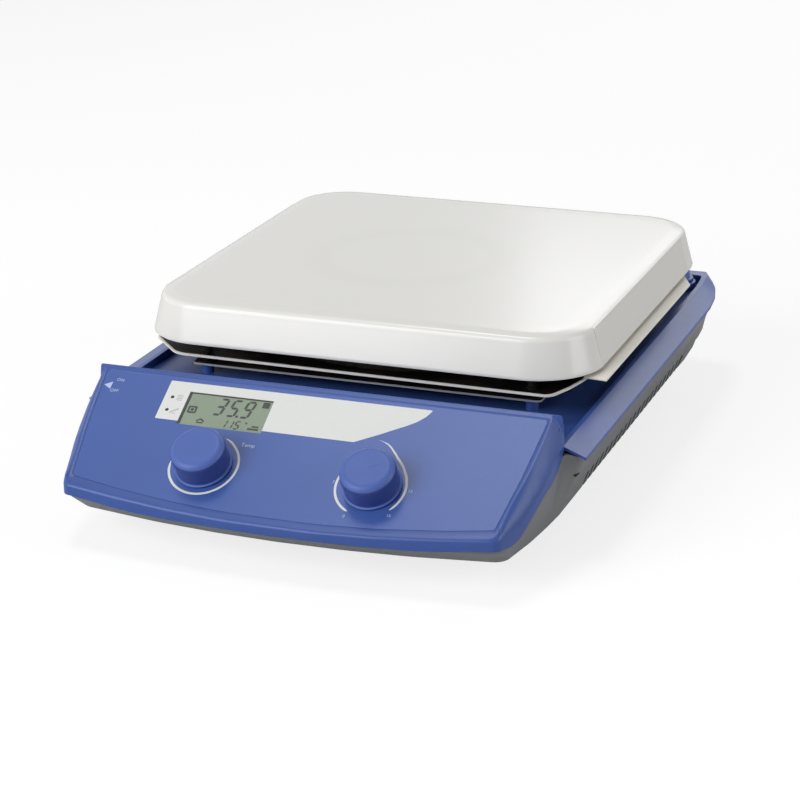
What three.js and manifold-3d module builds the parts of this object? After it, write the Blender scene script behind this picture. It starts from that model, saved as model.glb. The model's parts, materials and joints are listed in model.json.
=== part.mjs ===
// Heated magnetic stirrer: a square hot plate over a low housing with a sloping control panel.
// Sizes are in millimetres, +Z is up and +Y points to the back of the instrument.
// The origin lies on the bench, under the middle of the housing.

import * as THREE from 'three';
import { mergeVertices } from 'three/addons/utils/BufferGeometryUtils.js';
import Module from 'manifold-3d';

const wasm = await Module();
wasm.setup();

// Driving sizes: the square hot plate at its lower edge, and the housing that is drawn round it
const plateSize = 274;
const housingSideMargin = 13;
const housingBackMargin = 18.5;
const panelToPlate = 39.6;
const housingHeight = 61.4;

// Clearances
const seatGap = 0.3;
const runningGap = 0.4;
const overrun = 6;

// Points closer than this count as one
const mergeDistance = 0.0001;

// Smoothness of round pieces
const largeSides = 36;
const mediumSides = 20;
const smallSides = 10;
const arcSteps = 5;
const bowSteps = 6;

// Hot plate, a tray of glazed steel turned upside down
const plate = {
  rise: 21.8,
  skirtDraw: 4.8,
  edgeDraw: 4.8,
  cornerRadius: 38.5,
  skirtHeight: 24.2,
  edgeHeight: 5,
  topThickness: 5,
  wall: 4,
};
const plateEdgeShares = [[0, 0], [0.2, 0.52], [0.54, 0.86], [1, 1]];

// Flat cheek set into each side of the hot plate
const cheek = {
  thickness: 1,
  topDrop: 1.6,
};

// Housing cover, the blue moulding
const cover = {
  wall: 3,
  edgeDrop: 6.5,
  edgeLip: 1.5,
  crownInset: 12.8,
  trayDepth: 2.4,
  rimWidth: 2.8,
  crownRearInset: 1.9,
  trayRearInset: 12,
  railFront: 82.5,
};

// How far the sides draw in towards the rear corners, for the edge, the crown and the tray
const edgeTail = { length: 57.5, inset: 13.5 };
const crownTail = { length: 24, inset: 3 };
const trayTail = { length: 13, inset: 5 };
const tailShares = [[0, 0], [0.38, 0.22], [0.75, 0.55], [0.95, 0.9], [1, 1.2]];

// Sloping control panel on the front of the cover. Places are counted from the front edge back,
// and insets from the sides
const panel = {
  ridgeFront: 82.9,
  ridgeRise: 18.1,
  frontEdgeZ: 29.5,
  ridgeInset: 12,
  frontInset: 25,
  cornerFront: 9.1,
  cornerCut: 3,
  lipHeight: 5,
  ridgeFlat: 2.4,
  backFoot: 7.1,
  recessDepth: 0.9,
  recessBackMargin: 5,
  recessSideMarginBack: 7.7,
  recessSideMarginFront: 4,
  recessCornerMargin: 6.7,
  recessFrontMargin: 5.7,
};
const panelSideShares = [[0.84, 0.72], [0.65, 0.42], [0.45, 0.17], [0.25, 0.03]];

// Line on the side of the housing where the cover stops and the base starts
const seam = {
  startFront: 20.5,
  endDrop: 3.4,
};
const seamShares = [[0, 0], [0.37, 0.28], [0.63, 0.52], [0.89, 0.78], [1, 1]];

// Base shell, the grey moulding
const base = {
  wall: 3,
  floorZ: 15,
  stepDepth: 45,
  stepGap: 2.3,
  connectorInset: 9.5,
  connectorMargin: 8,
  connectorDrop: 11.3,
  rearSlope: 10,
  rearInset: 1.5,
};
const lowerTail = { length: 30, inset: 3 };

// Its three outlines from the floor up, as insets from the sides and distances from the front
const baseFloorOutline = {
  front: 14,
  corner: { side: 27.1, front: 26.5 },
  middle: { side: 22.7, front: 56.5 },
  waist: { side: 20.8, front: 80.5 },
  shoulder: { side: 20, front: 95.5 },
};
const baseLipOutline = {
  front: 1.5,
  corner: { side: 24, front: 14.5 },
  middle: { side: 20.1, front: 57.5 },
  waist: { side: 17.6, front: 80.5 },
  shoulder: { side: 15.7, front: 91.5 },
};
const baseRimOutline = {
  front: 1.5,
  corner: { side: 23, front: 14.5 },
  middle: { side: 15.8, front: 57.5 },
  waist: { side: 14, front: 80.5 },
  shoulder: { side: 1.5, front: 88.5 },
};

// Ventilation slots low on both sides of the base
const vent = {
  firstFront: 141.5,
  pitch: 10,
  width: 4.6,
  top: 24,
  reach: 12,
};

// Heat shields between the hot plate and the cover
const pan = {
  inset: 6,
  cornerRadius: 35,
  rise: 8.2,
  sheet: 1.2,
  rimHeight: 4.1,
  flangeReach: 12.3,
  flangeGap: 1.8,
  flangeFrontLength: 115,
  flangeBackLength: 72,
  flangeBackSlant: 24,
};
const lowerShield = {
  sideInset: 30,
  frontInset: 16.5,
  sheet: 1,
  rise: 5,
};

// Stepped posts that carry the shields and the hot plate
const post = {
  sideInset: 37,
  frontInset: 23,
  footRadius: 6.4,
  middleRadius: 5.5,
  topRadius: 4,
};

// Heater and insulation
const insulation = {
  panGap: 19,
  carrierGap: 12,
};
const heater = {
  edge: 4,
  thickness: 6,
};

// Stirring drive
const motor = {
  canRadius: 29,
  floorGap: 2,
  noseRadius: 11,
  nosePad: 2.6,
  bracketHalf: 46,
  bracketSheet: 2,
  bracketDrop: 9,
  pillarPlace: 38,
  pillarRadius: 5,
};
const shaft = {
  radius: 4,
  depthInMotor: 20,
  plateGap: 12,
};
const bush = {
  outerRadius: 8,
  flangeRadius: 11,
  flange: 1.6,
};
const carrier = {
  radius: 44,
  rise: 19,
  plateThickness: 3,
  hubRadius: 10,
  hubBelow: 4,
  hubAbove: 9,
};
const magnet = {
  length: 80,
  width: 26,
  height: 9,
};

// Sensors under the hot plate
const plateSensor = {
  radius: 7,
  height: 5,
  placeX: 0,
};
const limiter = {
  radius: 9,
  height: 8,
  bearingDegrees: 60,
  gap: 3,
};

// Knobs, their shafts and their encoders
const knob = {
  placeX: 48.9,
  placeV: -62,
  radius: 15.5,
  topRadius: 15.2,
  waistRadius: 14.9,
  height: 14.5,
  lift: 0.9,
  edge: 1.6,
  skirt: 2.6,
  wall: 2.4,
  roof: 2.6,
  hubRadius: 6,
  hubLift: 3.6,
};
const encoder = {
  half: 7,
  bushRadius: 4.5,
  bushTop: 2.9,
  shaftRadius: 3,
  shaftTop: 11.2,
  shaftRoot: -9.5,
  nutRadius: 7,
  nutHeight: 2,
  nutLift: 0.2,
};

// Panel foil, window and indicators
const foil = {
  thickness: 0.5,
  margin: 0.4,
};
const window = {
  centreX: -50.1,
  centreV: -24.8,
  width: 50.6,
  height: 20.6,
  thickness: 0.6,
};
const display = {
  marginX: 4,
  marginV: 3.2,
};
const led = {
  windowGap: 9,
  upperV: -18.8,
  lowerV: -27.9,
  radius: 1.5,
  flangeRadius: 2,
  flangeHeight: 1,
};

// Boards
const controlBoard = {
  margin: 14,
  backV: -10,
  frontV: -76,
  thickness: 1.6,
  depth: 12.3,
  postRadius: 4,
  postInset: 5,
};
const powerBoard = {
  sideInset: 38,
  motorGap: 11,
  front: 197.5,
  length: 140,
  rise: 9.6,
  thickness: 1.6,
  postRadius: 4,
  postInset: 6,
};
const transformer = {
  halfX: 22,
  halfY: 20,
  roofGap: 6.1,
  backInset: 30,
};
const heatsink = {
  halfX: 24,
  thickness: 6,
  roofGap: 8.1,
  frontInset: 30,
  finDepth: 8,
};
const finCount = 6;

// Rear connectors
const inlet = {
  placeX: -60,
  flangeHalfX: 24,
  flangeHalfZ: 11,
  flange: 2,
  bodyHalfX: 13.6,
  bodyHalfZ: 9.6,
  bodyDepth: 18,
  mouthHalfX: 12,
  mouthHalfZ: 8,
  mouthDepth: 15,
  pinLength: 9,
  pinHalfX: 1,
  pinHalfZ: 2,
  pinSpread: 7,
  pinDrop: 1.5,
  screwSpread: 20,
};
const fuse = {
  placeX: -15,
  bodyRadius: 6.2,
  flangeRadius: 8.4,
  flange: 1.8,
  bodyDepth: 24,
  capRadius: 5.4,
  capProud: 6,
  capDepth: 10,
  slotWidth: 1.6,
  slotDepth: 1.4,
};
const socket = {
  placeX: 32,
  bodyRadius: 7.6,
  flangeRadius: 10,
  flange: 2,
  bodyDepth: 14,
  mouthRadius: 5.6,
  mouthDepth: 11,
};

// Socket for a support rod, at the back on the right
const rodSocket = {
  sideInset: 30.5,
  backInset: 21.5,
  padRadius: 12,
  footRadius: 10.5,
  footHeight: 2,
  neckRadius: 8.5,
  topRadius: 7,
  height: 14.3,
  bore: 5,
  boreFloor: 4,
};

// Mains switch on the left side
const mainsSwitch = {
  front: 115.5,
  bodyHalfY: 9.6,
  bodyHalfX: 6.4,
  bodyDepth: 15,
  bezelHalfY: 10.8,
  bezelHalfX: 7.6,
  bezel: 1.6,
  mouthHalfY: 8.4,
  mouthHalfX: 5,
  mouthDepth: 8,
  rockerProud: 1.6,
  rockerDepth: 5,
  rockerGap: 0.5,
  crown: 1,
};
const switchRiseShare = 0.42;
const rockerTiltDegrees = 8;

// Feet and screws
const foot = {
  sideInset: 50,
  frontInset: 77.5,
  backInset: 59.5,
  topRadius: 12,
  bottomRadius: 10.5,
  bore: 2.4,
  cupRadius: 5,
  cupHeight: 6,
};
const screw = {
  radius: 1.6,
  headRadius: 3.2,
  headHeight: 2.2,
};
const pin = {
  radius: 1.6,
  proud: 1.2,
};
const coverScrew = {
  sideInset: 34,
  frontInset: 111.5,
  backInset: 55.5,
  radius: 2,
  headRadius: 4,
  headHeight: 3,
  pillarRadius: 6,
  bite: 6,
};

// Colours and finishes
function finish(color, roughness, metalness) {
  return new THREE.MeshStandardMaterial({ color, roughness, metalness });
}
const glazedWhite = finish(0xe6e6e4, 0.3, 0);
const cheekWhite = finish(0xc8c8c5, 0.4, 0);
const housingBlue = finish(0x5a6fae, 0.45, 0);
const foilBlue = finish(0x6478b4, 0.5, 0);
const knobBlue = finish(0x6678b2, 0.5, 0);
const baseGrey = finish(0x757678, 0.6, 0);
const sheetSteel = finish(0x8d8f92, 0.4, 0.9);
const brightSteel = finish(0xb8babd, 0.3, 1);
const brass = finish(0xb08d4a, 0.35, 1);
const magnetGrey = finish(0x4a4b4e, 0.5, 0.6);
const boardGreen = finish(0x2c5a3c, 0.6, 0);
const blackPlastic = finish(0x1b1c1e, 0.5, 0);
const rubberBlack = finish(0x222325, 0.9, 0);
const displayGreen = finish(0x8a9a85, 0.3, 0);
const clearWindow = finish(0xcfd6cf, 0.1, 0);
const fibreWhite = finish(0x6d6a62, 0.95, 0);
const indicatorAmber = finish(0x3a2a1c, 0.3, 0);

const stirrer = new THREE.Group();
stirrer.name = 'heated_magnetic_stirrer';

// Solid helpers
function toSolid(geometry) {
  const bare = geometry.index ? geometry.toNonIndexed() : geometry.clone();
  bare.deleteAttribute('normal');
  bare.deleteAttribute('uv');
  const merged = mergeVertices(bare, mergeDistance);
  return new wasm.Manifold(new wasm.Mesh({
    numProp: 3,
    vertProperties: merged.attributes.position.array,
    triVerts: new Uint32Array(merged.index.array),
  }));
}

function toGeometry(solid) {
  const mesh = solid.getMesh();
  const geometry = new THREE.BufferGeometry();
  geometry.setAttribute('position', new THREE.BufferAttribute(mesh.vertProperties, 3));
  geometry.setIndex(new THREE.BufferAttribute(mesh.triVerts, 1));
  geometry.computeVertexNormals();
  return geometry;
}

function cut(geometry, ...cutters) {
  return cutters.reduce((solid, cutter) => solid.subtract(toSolid(cutter)), toSolid(geometry));
}

function unite(...geometries) {
  return geometries.map(toSolid).reduce((sum, solid) => sum.add(solid));
}

function addPiece(name, shape, material, parent = stirrer) {
  const geometry = shape.isBufferGeometry ? shape : toGeometry(shape);
  const mesh = new THREE.Mesh(geometry, material);
  mesh.name = name;
  parent.add(mesh);
  return mesh;
}

// A box given by its limits on each axis
function box([x0, x1], [y0, y1], [z0, z1]) {
  const geometry = new THREE.BoxGeometry(x1 - x0, y1 - y0, z1 - z0);
  return geometry.translate((x0 + x1) / 2, (y0 + y1) / 2, (z0 + z1) / 2);
}

// A round rod along Z
function rod(radius, z0, z1, x = 0, y = 0, sides = mediumSides) {
  const geometry = new THREE.CylinderGeometry(radius, radius, z1 - z0, sides);
  return geometry.rotateX(Math.PI / 2).translate(x, y, (z0 + z1) / 2);
}

// A turned piece about Z from radius and height pairs that start and end on the axis
function turned(profile, sides = mediumSides) {
  const points = profile.map(([radius, z]) => new THREE.Vector2(radius, z));
  return new THREE.LatheGeometry(points, sides).rotateX(Math.PI / 2);
}

// A screw that points up, with its head under Z = 0
function screwShape(radius, headRadius, headHeight, length) {
  return turned([
    [0, -headHeight],
    [headRadius, -headHeight],
    [headRadius, 0],
    [radius, 0],
    [radius, length],
    [0, length],
  ], smallSides);
}

// A piece at each corner, named in the order of the places
const cornerNames = ['front_left', 'back_left', 'front_right', 'back_right'];
function cornerScrews(name, places, z, length, sizes) {
  places.forEach(([x, y], i) => {
    const shape = screwShape(sizes.radius, sizes.headRadius, sizes.headHeight, length);
    addPiece(`${name}_${cornerNames[i]}`, shape.translate(x, y, z), brightSteel);
  });
}

// A solid between rings of points listed from the bottom up, each anticlockwise from above
function loft(rings) {
  const count = rings[0].length;
  const indices = [];
  for (let level = 0; level + 1 < rings.length; level += 1) {
    for (let i = 0; i < count; i += 1) {
      const a = level * count + i;
      const b = level * count + (i + 1) % count;
      indices.push(a, b, b + count);
      indices.push(a, b + count, a + count);
    }
  }
  const flatten = (ring) => ring.map((point) => new THREE.Vector2(point.x, point.y));
  for (const [a, b, c] of THREE.ShapeUtils.triangulateShape(flatten(rings[0]), [])) {
    indices.push(a, c, b);
  }
  const last = (rings.length - 1) * count;
  for (const [a, b, c] of THREE.ShapeUtils.triangulateShape(flatten(rings.at(-1)), [])) {
    indices.push(last + a, last + b, last + c);
  }
  const geometry = new THREE.BufferGeometry().setFromPoints(rings.flat());
  geometry.setIndex(indices);
  return geometry;
}

// A flat outline in X and Y raised between two heights
function raised(points, z0, z1) {
  const shape = new THREE.Shape(points.map(([x, y]) => new THREE.Vector2(x, y)));
  const geometry = new THREE.ExtrudeGeometry(shape, { depth: z1 - z0, bevelEnabled: false });
  return geometry.translate(0, 0, z0);
}

// A side view in Y and Z run across the instrument from -half to +half
function acrossX(points, half) {
  const shape = new THREE.Shape(points.map(([y, z]) => new THREE.Vector2(y, z)));
  const geometry = new THREE.ExtrudeGeometry(shape, { depth: half * 2, bevelEnabled: false });
  geometry.translate(0, 0, -half);
  return geometry.applyMatrix4(new THREE.Matrix4().makeBasis(
    new THREE.Vector3(0, 1, 0),
    new THREE.Vector3(0, 0, 1),
    new THREE.Vector3(1, 0, 0),
  ));
}

// A square ring with round corners
function roundedSquare(half, radius, z, centreY) {
  const inner = half - radius;
  const centres = [[inner, -inner], [inner, inner], [-inner, inner], [-inner, -inner]];
  return centres.flatMap(([x, y], quarter) => Array.from({ length: arcSteps + 1 }, (_, step) => {
    const angle = (quarter - 1 + step / arcSteps) * Math.PI / 2;
    return new THREE.Vector3(
      x + radius * Math.cos(angle),
      centreY + y + radius * Math.sin(angle),
      z,
    );
  }));
}

// Right-hand side of an outline, mirrored to make the whole ring
function mirrored(rightSide, z) {
  const right = rightSide.map(([x, y]) => new THREE.Vector3(x, y, z));
  const left = rightSide.filter(([x]) => x > 0).map(([x, y]) => new THREE.Vector3(-x, y, z));
  return [...right, ...left.reverse()];
}

// Bowed front edge from the middle to the corner
function bow(frontY, [cornerX, cornerY]) {
  return Array.from({ length: bowSteps }, (_, step) => {
    const share = step / bowSteps;
    return [cornerX * share, frontY + (cornerY - frontY) * share * share];
  });
}

// Side of an outline that draws in towards the rear corner
function rearCorner(half, rearY, tail) {
  return tailShares.map(([lengthShare, insetShare]) => [
    half - tail.inset * insetShare,
    rearY - tail.length * (1 - lengthShare),
  ]);
}

// Outside of the housing, worked out from the driving sizes
const plateHalf = plateSize / 2;
const halfWidth = plateHalf + housingSideMargin;
const width = halfWidth * 2;
const depth = panel.ridgeFront + panelToPlate + plateSize + housingBackMargin;
const frontEdgeY = -depth / 2;
const backEdgeY = depth / 2;
const crownHalf = halfWidth - cover.crownInset;
const railFrontY = frontEdgeY + cover.railFront;

// Heights from the bench up
const floorTopZ = base.floorZ + base.wall;
const lipZ = panel.frontEdgeZ - panel.lipHeight;
const edgeZ = housingHeight - cover.edgeDrop;
const baseLipZ = lipZ - seatGap;
const baseRimZ = edgeZ - seatGap;
const trayFloorZ = housingHeight - cover.trayDepth;
const coverCeiling = trayFloorZ - cover.wall;
const bracketZ = trayFloorZ - motor.bracketDrop;
const shieldTopZ = trayFloorZ + lowerShield.rise;
const panBottomZ = trayFloorZ + pan.rise;
const panRimZ = panBottomZ + pan.rimHeight;
const carrierZ = trayFloorZ + carrier.rise;
const plateBottomZ = trayFloorZ + plate.rise;
const height = plateBottomZ + plate.skirtHeight;
const plateUndersideZ = height - plate.topThickness;
const flangeTopZ = plateBottomZ - pan.flangeGap;

// Places of what stands on the housing or hangs in it
const plateCentreY = backEdgeY - housingBackMargin - plateHalf;
const plateShoulderHalf = plateHalf - plate.skirtDraw;
const panHalf = plateHalf - pan.inset;
const insulationRadius = panHalf - insulation.panGap;
const heaterRadius = insulationRadius - heater.edge;
const insulationBore = carrier.radius + insulation.carrierGap;
const heaterBore = insulationBore - heater.edge;
const connectorY = backEdgeY - base.connectorInset;
const connectorZ = baseRimZ - base.connectorDrop;
const connectorHalf = Math.abs(inlet.placeX) + inlet.flangeHalfX + base.connectorMargin;
const stepZ = connectorZ - inlet.flangeHalfZ - base.stepGap;
const rodSocketX = halfWidth - rodSocket.sideInset;
const rodSocketY = backEdgeY - rodSocket.backInset;
const ledX = window.centreX - window.width / 2 - led.windowGap;
const controlBoardHalf = Math.abs(ledX) + controlBoard.margin;

// Frame of the control panel: X across, Y up the slope, Z out of the panel, origin on the ridge
const ridgeY = frontEdgeY + panel.ridgeFront;
const ridgeZ = housingHeight + panel.ridgeRise;
const ridgeHalf = halfWidth - panel.ridgeInset;
const panelTilt = Math.atan2(ridgeZ - panel.frontEdgeZ, panel.ridgeFront);
const panelFrontHalf = halfWidth - panel.frontInset;
const panelCornerY = frontEdgeY + panel.cornerFront;
const panelCornerV = (panelCornerY - ridgeY) / Math.cos(panelTilt);
const panelFrontV = (frontEdgeY - ridgeY) / Math.cos(panelTilt);
const backFootY = ridgeY + panel.backFoot;
const panelMatrix = new THREE.Matrix4()
  .makeTranslation(0, ridgeY, ridgeZ)
  .multiply(new THREE.Matrix4().makeRotationX(panelTilt));
const panelGroup = new THREE.Group();
panelGroup.position.set(0, ridgeY, ridgeZ);
panelGroup.rotation.x = panelTilt;
stirrer.add(panelGroup);

function onPanel(geometry) {
  return geometry.applyMatrix4(panelMatrix);
}

function panelHeightAt(y) {
  return ridgeZ + (y - ridgeY) * Math.tan(panelTilt);
}

const panelUnderside = -panel.recessDepth - cover.wall;

// Outline of the recess for the foil, drawn in by an inset
function recessOutline(inset) {
  const cornerX = panelFrontHalf - panel.recessSideMarginFront - inset;
  const cornerV = panelCornerV + panel.recessCornerMargin + inset;
  const backX = ridgeHalf - panel.recessSideMarginBack - inset;
  const front = bow(panelFrontV + panel.recessFrontMargin + inset, [cornerX, cornerV]);
  const right = [
    ...front,
    [cornerX, cornerV],
    [backX, -panel.recessBackMargin - inset],
  ];
  const left = right.filter(([x]) => x > 0).map(([x, y]) => [-x, y]).reverse();
  return [...right, ...left];
}

// Cover: the panel block in plan
function panelPlan(inset, z0, z1) {
  const cornerX = panelFrontHalf - inset;
  const cornerY = panelCornerY + inset;
  const backX = ridgeHalf - inset;
  const frontY = frontEdgeY + inset;
  const right = [
    ...bow(frontY, [cornerX - panel.cornerCut, cornerY - panel.cornerCut / 2]),
    [cornerX - panel.cornerCut, cornerY - panel.cornerCut / 2],
    [cornerX, cornerY + panel.cornerCut],
    ...panelSideShares.map(([lengthShare, insetShare]) => [
      backX + (cornerX - backX) * insetShare,
      ridgeY + (panelCornerY - ridgeY) * lengthShare,
    ]),
    [backX, ridgeY],
    [backX, backFootY],
  ];
  return loft([mirrored(right, z0), mirrored(right, z1)]);
}

const seamPoints = seamShares.map(([yShare, zShare]) => {
  const startY = frontEdgeY + seam.startFront;
  const endZ = edgeZ - seam.endDrop;
  return [
    startY + (railFrontY - startY) * yShare,
    lipZ + (endZ - lipZ) * zShare,
  ];
});

// Cover: the panel block from the side
const panelBlockProfile = [
  [frontEdgeY - overrun, lipZ],
  ...seamPoints,
  [railFrontY, edgeZ],
  [backFootY, edgeZ],
  [backFootY, trayFloorZ],
  [ridgeY + panel.ridgeFlat, ridgeZ],
  [ridgeY, ridgeZ],
  [frontEdgeY - overrun, panelHeightAt(frontEdgeY - overrun)],
];
const wallUnderPanel = (cover.wall + panel.recessDepth) / Math.cos(panelTilt);
const panelHollowProfile = [
  [frontEdgeY - overrun, -overrun],
  [backFootY - cover.wall, -overrun],
  [backFootY - cover.wall, trayFloorZ],
  [ridgeY, ridgeZ - wallUnderPanel],
  [frontEdgeY - overrun, panelHeightAt(frontEdgeY - overrun) - wallUnderPanel],
];

// Cover: the tray behind the panel, as outlines from the front of the rails to the rear corner
function coverRing(half, z, frontY, rearY, tail) {
  return mirrored([[half, frontY], ...rearCorner(half, rearY, tail)], z);
}
const crownRearY = backEdgeY - cover.crownRearInset;
const coverBody = toSolid(loft([
  coverRing(halfWidth, edgeZ, railFrontY, backEdgeY, edgeTail),
  coverRing(halfWidth, edgeZ + cover.edgeLip, railFrontY, backEdgeY, edgeTail),
  coverRing(crownHalf, housingHeight, railFrontY, crownRearY, crownTail),
]));
const trayHalf = crownHalf - cover.rimWidth;
const trayRearY = backEdgeY - cover.trayRearInset;
const trayCut = loft([
  coverRing(trayHalf, trayFloorZ, backFootY, trayRearY, trayTail),
  coverRing(trayHalf, housingHeight + overrun, backFootY, trayRearY, trayTail),
]);
const hollowHalf = halfWidth - cover.wall;
const hollowSlope = cover.crownInset / (housingHeight - edgeZ - cover.edgeLip);
const hollowKneeZ = edgeZ - (cover.wall - cover.edgeLip) / 2;
const hollowTopHalf = hollowHalf - hollowSlope * (coverCeiling - hollowKneeZ);
const coverHollow = loft([
  [hollowHalf, edgeZ - overrun],
  [hollowHalf, hollowKneeZ],
  [hollowTopHalf, coverCeiling],
].map(([half, z]) => (
  coverRing(half, z, railFrontY + cover.wall, backEdgeY - cover.wall, edgeTail)
)));
const panelBlock = toSolid(panelPlan(0, 0, height)).intersect(
  toSolid(acrossX(panelBlockProfile, width)),
);
const panelHollow = toSolid(panelPlan(cover.wall, 0, height)).intersect(
  toSolid(acrossX(panelHollowProfile, width)),
);

function along(places, make) {
  return places.map(([x, y]) => make(x, y));
}
const signs = [-1, 1];
const boardPostV = [
  controlBoard.backV - controlBoard.postInset,
  controlBoard.frontV + controlBoard.postInset,
];
const boardPosts = signs.flatMap((side) => boardPostV
  .map((v) => [side * (controlBoardHalf - controlBoard.postInset), v]));
const boardTop = -controlBoard.depth;
const boardBottom = boardTop - controlBoard.thickness;
const coverScrewY = [frontEdgeY + coverScrew.frontInset, backEdgeY - coverScrew.backInset];
const coverPillars = signs.flatMap((side) => coverScrewY
  .map((y) => [side * (halfWidth - coverScrew.sideInset), y]));
const motorPillars = signs.flatMap((side) => signs
  .map((end) => [side * motor.pillarPlace, plateCentreY + end * motor.pillarPlace]));
const platePosts = signs.flatMap((side) => signs.map((end) => [
  side * (plateHalf - post.sideInset),
  plateCentreY + end * (plateHalf - post.frontInset),
]));
const bracketTopZ = bracketZ + motor.bracketSheet;
const pillarJoinZ = coverCeiling - cover.wall;

const coverAdditions = [
  rod(
    rodSocket.padRadius,
    coverCeiling,
    housingHeight,
    rodSocketX,
    rodSocketY,
  ),
  ...along(boardPosts, (x, v) => onPanel(
    rod(controlBoard.postRadius, boardTop + seatGap, panelUnderside + seatGap, x, v, smallSides),
  )),
  ...along(boardPosts, (x, v) => onPanel(
    rod(pin.radius, boardBottom - pin.proud, panelUnderside, x, v, smallSides),
  )),
  ...along(motorPillars, (x, y) => (
    rod(pin.radius, bracketZ - pin.proud, coverCeiling, x, y, smallSides)
  )),
  ...along(coverPillars, (x, y) => (
    rod(coverScrew.pillarRadius, pillarJoinZ, coverCeiling + seatGap, x, y, smallSides)
  )),
  ...along(motorPillars, (x, y) => (
    rod(motor.pillarRadius, bracketTopZ + seatGap, coverCeiling + seatGap, x, y, smallSides)
  )),
];
function windowHole() {
  return box(
    [window.centreX - window.width / 2, window.centreX + window.width / 2],
    [window.centreV - window.height / 2, window.centreV + window.height / 2],
    [panelUnderside - overrun, overrun],
  );
}
const coverCuts = [
  trayCut,
  onPanel(raised(recessOutline(0), -panel.recessDepth, overrun)),
  onPanel(windowHole()),
  ...signs.map((side) => onPanel(rod(
    encoder.bushRadius + seatGap,
    panelUnderside - overrun,
    overrun,
    side * knob.placeX,
    knob.placeV,
  ))),
  ...[led.upperV, led.lowerV].map((v) => onPanel(rod(
    led.radius + seatGap,
    panelUnderside - overrun,
    overrun,
    ledX,
    v,
    smallSides,
  ))),
  rod(
    bush.outerRadius + seatGap,
    coverCeiling - overrun,
    trayFloorZ + overrun,
    0,
    plateCentreY,
  ),
];
const pillarHoles = along(coverPillars, (x, y) => rod(
  coverScrew.radius + seatGap,
  pillarJoinZ - overrun,
  pillarJoinZ + coverScrew.bite - cover.wall,
  x,
  y,
  smallSides,
));
let coverSolid = coverBody.subtract(toSolid(coverHollow)).add(panelBlock).subtract(panelHollow);
for (const cutter of coverCuts) {
  coverSolid = coverSolid.subtract(toSolid(cutter));
}
for (const addition of coverAdditions) {
  coverSolid = coverSolid.add(toSolid(addition));
}
for (const hole of pillarHoles) {
  coverSolid = coverSolid.subtract(toSolid(hole));
}
addPiece('housing_cover', coverSolid, housingBlue);

// Base shell
function baseRing(outline, z, rearY, inset, tail) {
  const half = halfWidth - outline.shoulder.side;
  const point = (place, frontInset) => [
    halfWidth - place.side - inset,
    frontEdgeY + place.front + frontInset,
  ];
  const corner = point(outline.corner, inset);
  return mirrored([
    ...bow(frontEdgeY + outline.front + inset, corner),
    corner,
    point(outline.middle, 0),
    point(outline.waist, 0),
    point(outline.shoulder, inset),
    ...rearCorner(half - inset, rearY - inset, tail),
  ], z);
}
const baseRearY = backEdgeY - base.rearInset;
const baseRise = (baseRimZ - baseLipZ) / (baseRimZ - base.floorZ);
const baseFloorRearY = baseRearY - base.rearSlope / baseRise;
function baseLoft(inset, bottomZ, topZ) {
  return loft([
    baseRing(baseFloorOutline, bottomZ, baseFloorRearY, inset, lowerTail),
    baseRing(baseLipOutline, baseLipZ, baseRearY - base.rearSlope, inset, lowerTail),
    baseRing(baseRimOutline, topZ, baseRearY, inset, edgeTail),
  ]);
}
const aboveSeam = acrossX([
  [frontEdgeY - overrun, baseLipZ],
  ...seamPoints.map(([y, z]) => [y, z - seatGap]),
  [railFrontY, baseRimZ + overrun],
  [frontEdgeY - overrun, baseRimZ + overrun],
], width);
const rearStep = box(
  [-width, width],
  [backEdgeY - base.stepDepth, depth],
  [0, stepZ],
);
const rearStepInside = box(
  [-width, width],
  [backEdgeY - base.stepDepth - base.wall, depth],
  [0, stepZ + base.wall],
);
const connectorRecess = box(
  [-connectorHalf, connectorHalf],
  [connectorY, depth],
  [0, baseRimZ + overrun],
);
const connectorWall = box(
  [-connectorHalf - base.wall, connectorHalf + base.wall],
  [connectorY - base.wall, depth],
  [0, baseRimZ + overrun],
);
const baseOuter = toSolid(baseLoft(0, base.floorZ, baseRimZ))
  .subtract(toSolid(rearStep))
  .subtract(toSolid(connectorRecess));
const baseHollow = toSolid(baseLoft(base.wall, floorTopZ, baseRimZ + seatGap))
  .subtract(toSolid(rearStepInside))
  .subtract(toSolid(connectorWall));
let baseSolid = baseOuter.subtract(baseHollow).subtract(toSolid(aboveSeam));

const footY = [frontEdgeY + foot.frontInset, backEdgeY - foot.backInset];
const footPlaces = signs.flatMap((side) => footY
  .map((y) => [side * (halfWidth - foot.sideInset), y]));
const powerRightX = halfWidth - powerBoard.sideInset;
const powerLeftX = motor.canRadius + powerBoard.motorGap;
const powerFrontY = frontEdgeY + powerBoard.front;
const powerBackY = powerFrontY + powerBoard.length;
const powerTopZ = floorTopZ + powerBoard.rise;
const powerPostX = [powerLeftX + powerBoard.postInset, powerRightX - powerBoard.postInset];
const powerPostY = [powerFrontY + powerBoard.postInset, powerBackY - powerBoard.postInset];
const powerPosts = powerPostX.flatMap((x) => powerPostY.map((y) => [x, y]));
const powerBoardBottom = powerTopZ - powerBoard.thickness;
const baseAdditions = [
  ...along(coverPillars, (x, y) => (
    rod(coverScrew.pillarRadius, floorTopZ - seatGap, pillarJoinZ - seatGap, x, y, smallSides)
  )),
  ...along(powerPosts, (x, y) => (
    rod(powerBoard.postRadius, floorTopZ - seatGap, powerBoardBottom - seatGap, x, y, smallSides)
  )),
  ...along(powerPosts, (x, y) => (
    rod(pin.radius, floorTopZ - seatGap, powerTopZ + pin.proud, x, y, smallSides)
  )),
];
const switchLean = Math.atan2(
  baseLipOutline.shoulder.side - baseRimOutline.shoulder.side,
  baseRimZ - baseLipZ,
);
const switchRise = (baseRimZ - baseLipZ) * switchRiseShare;
const switchFrame = new THREE.Group();
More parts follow.
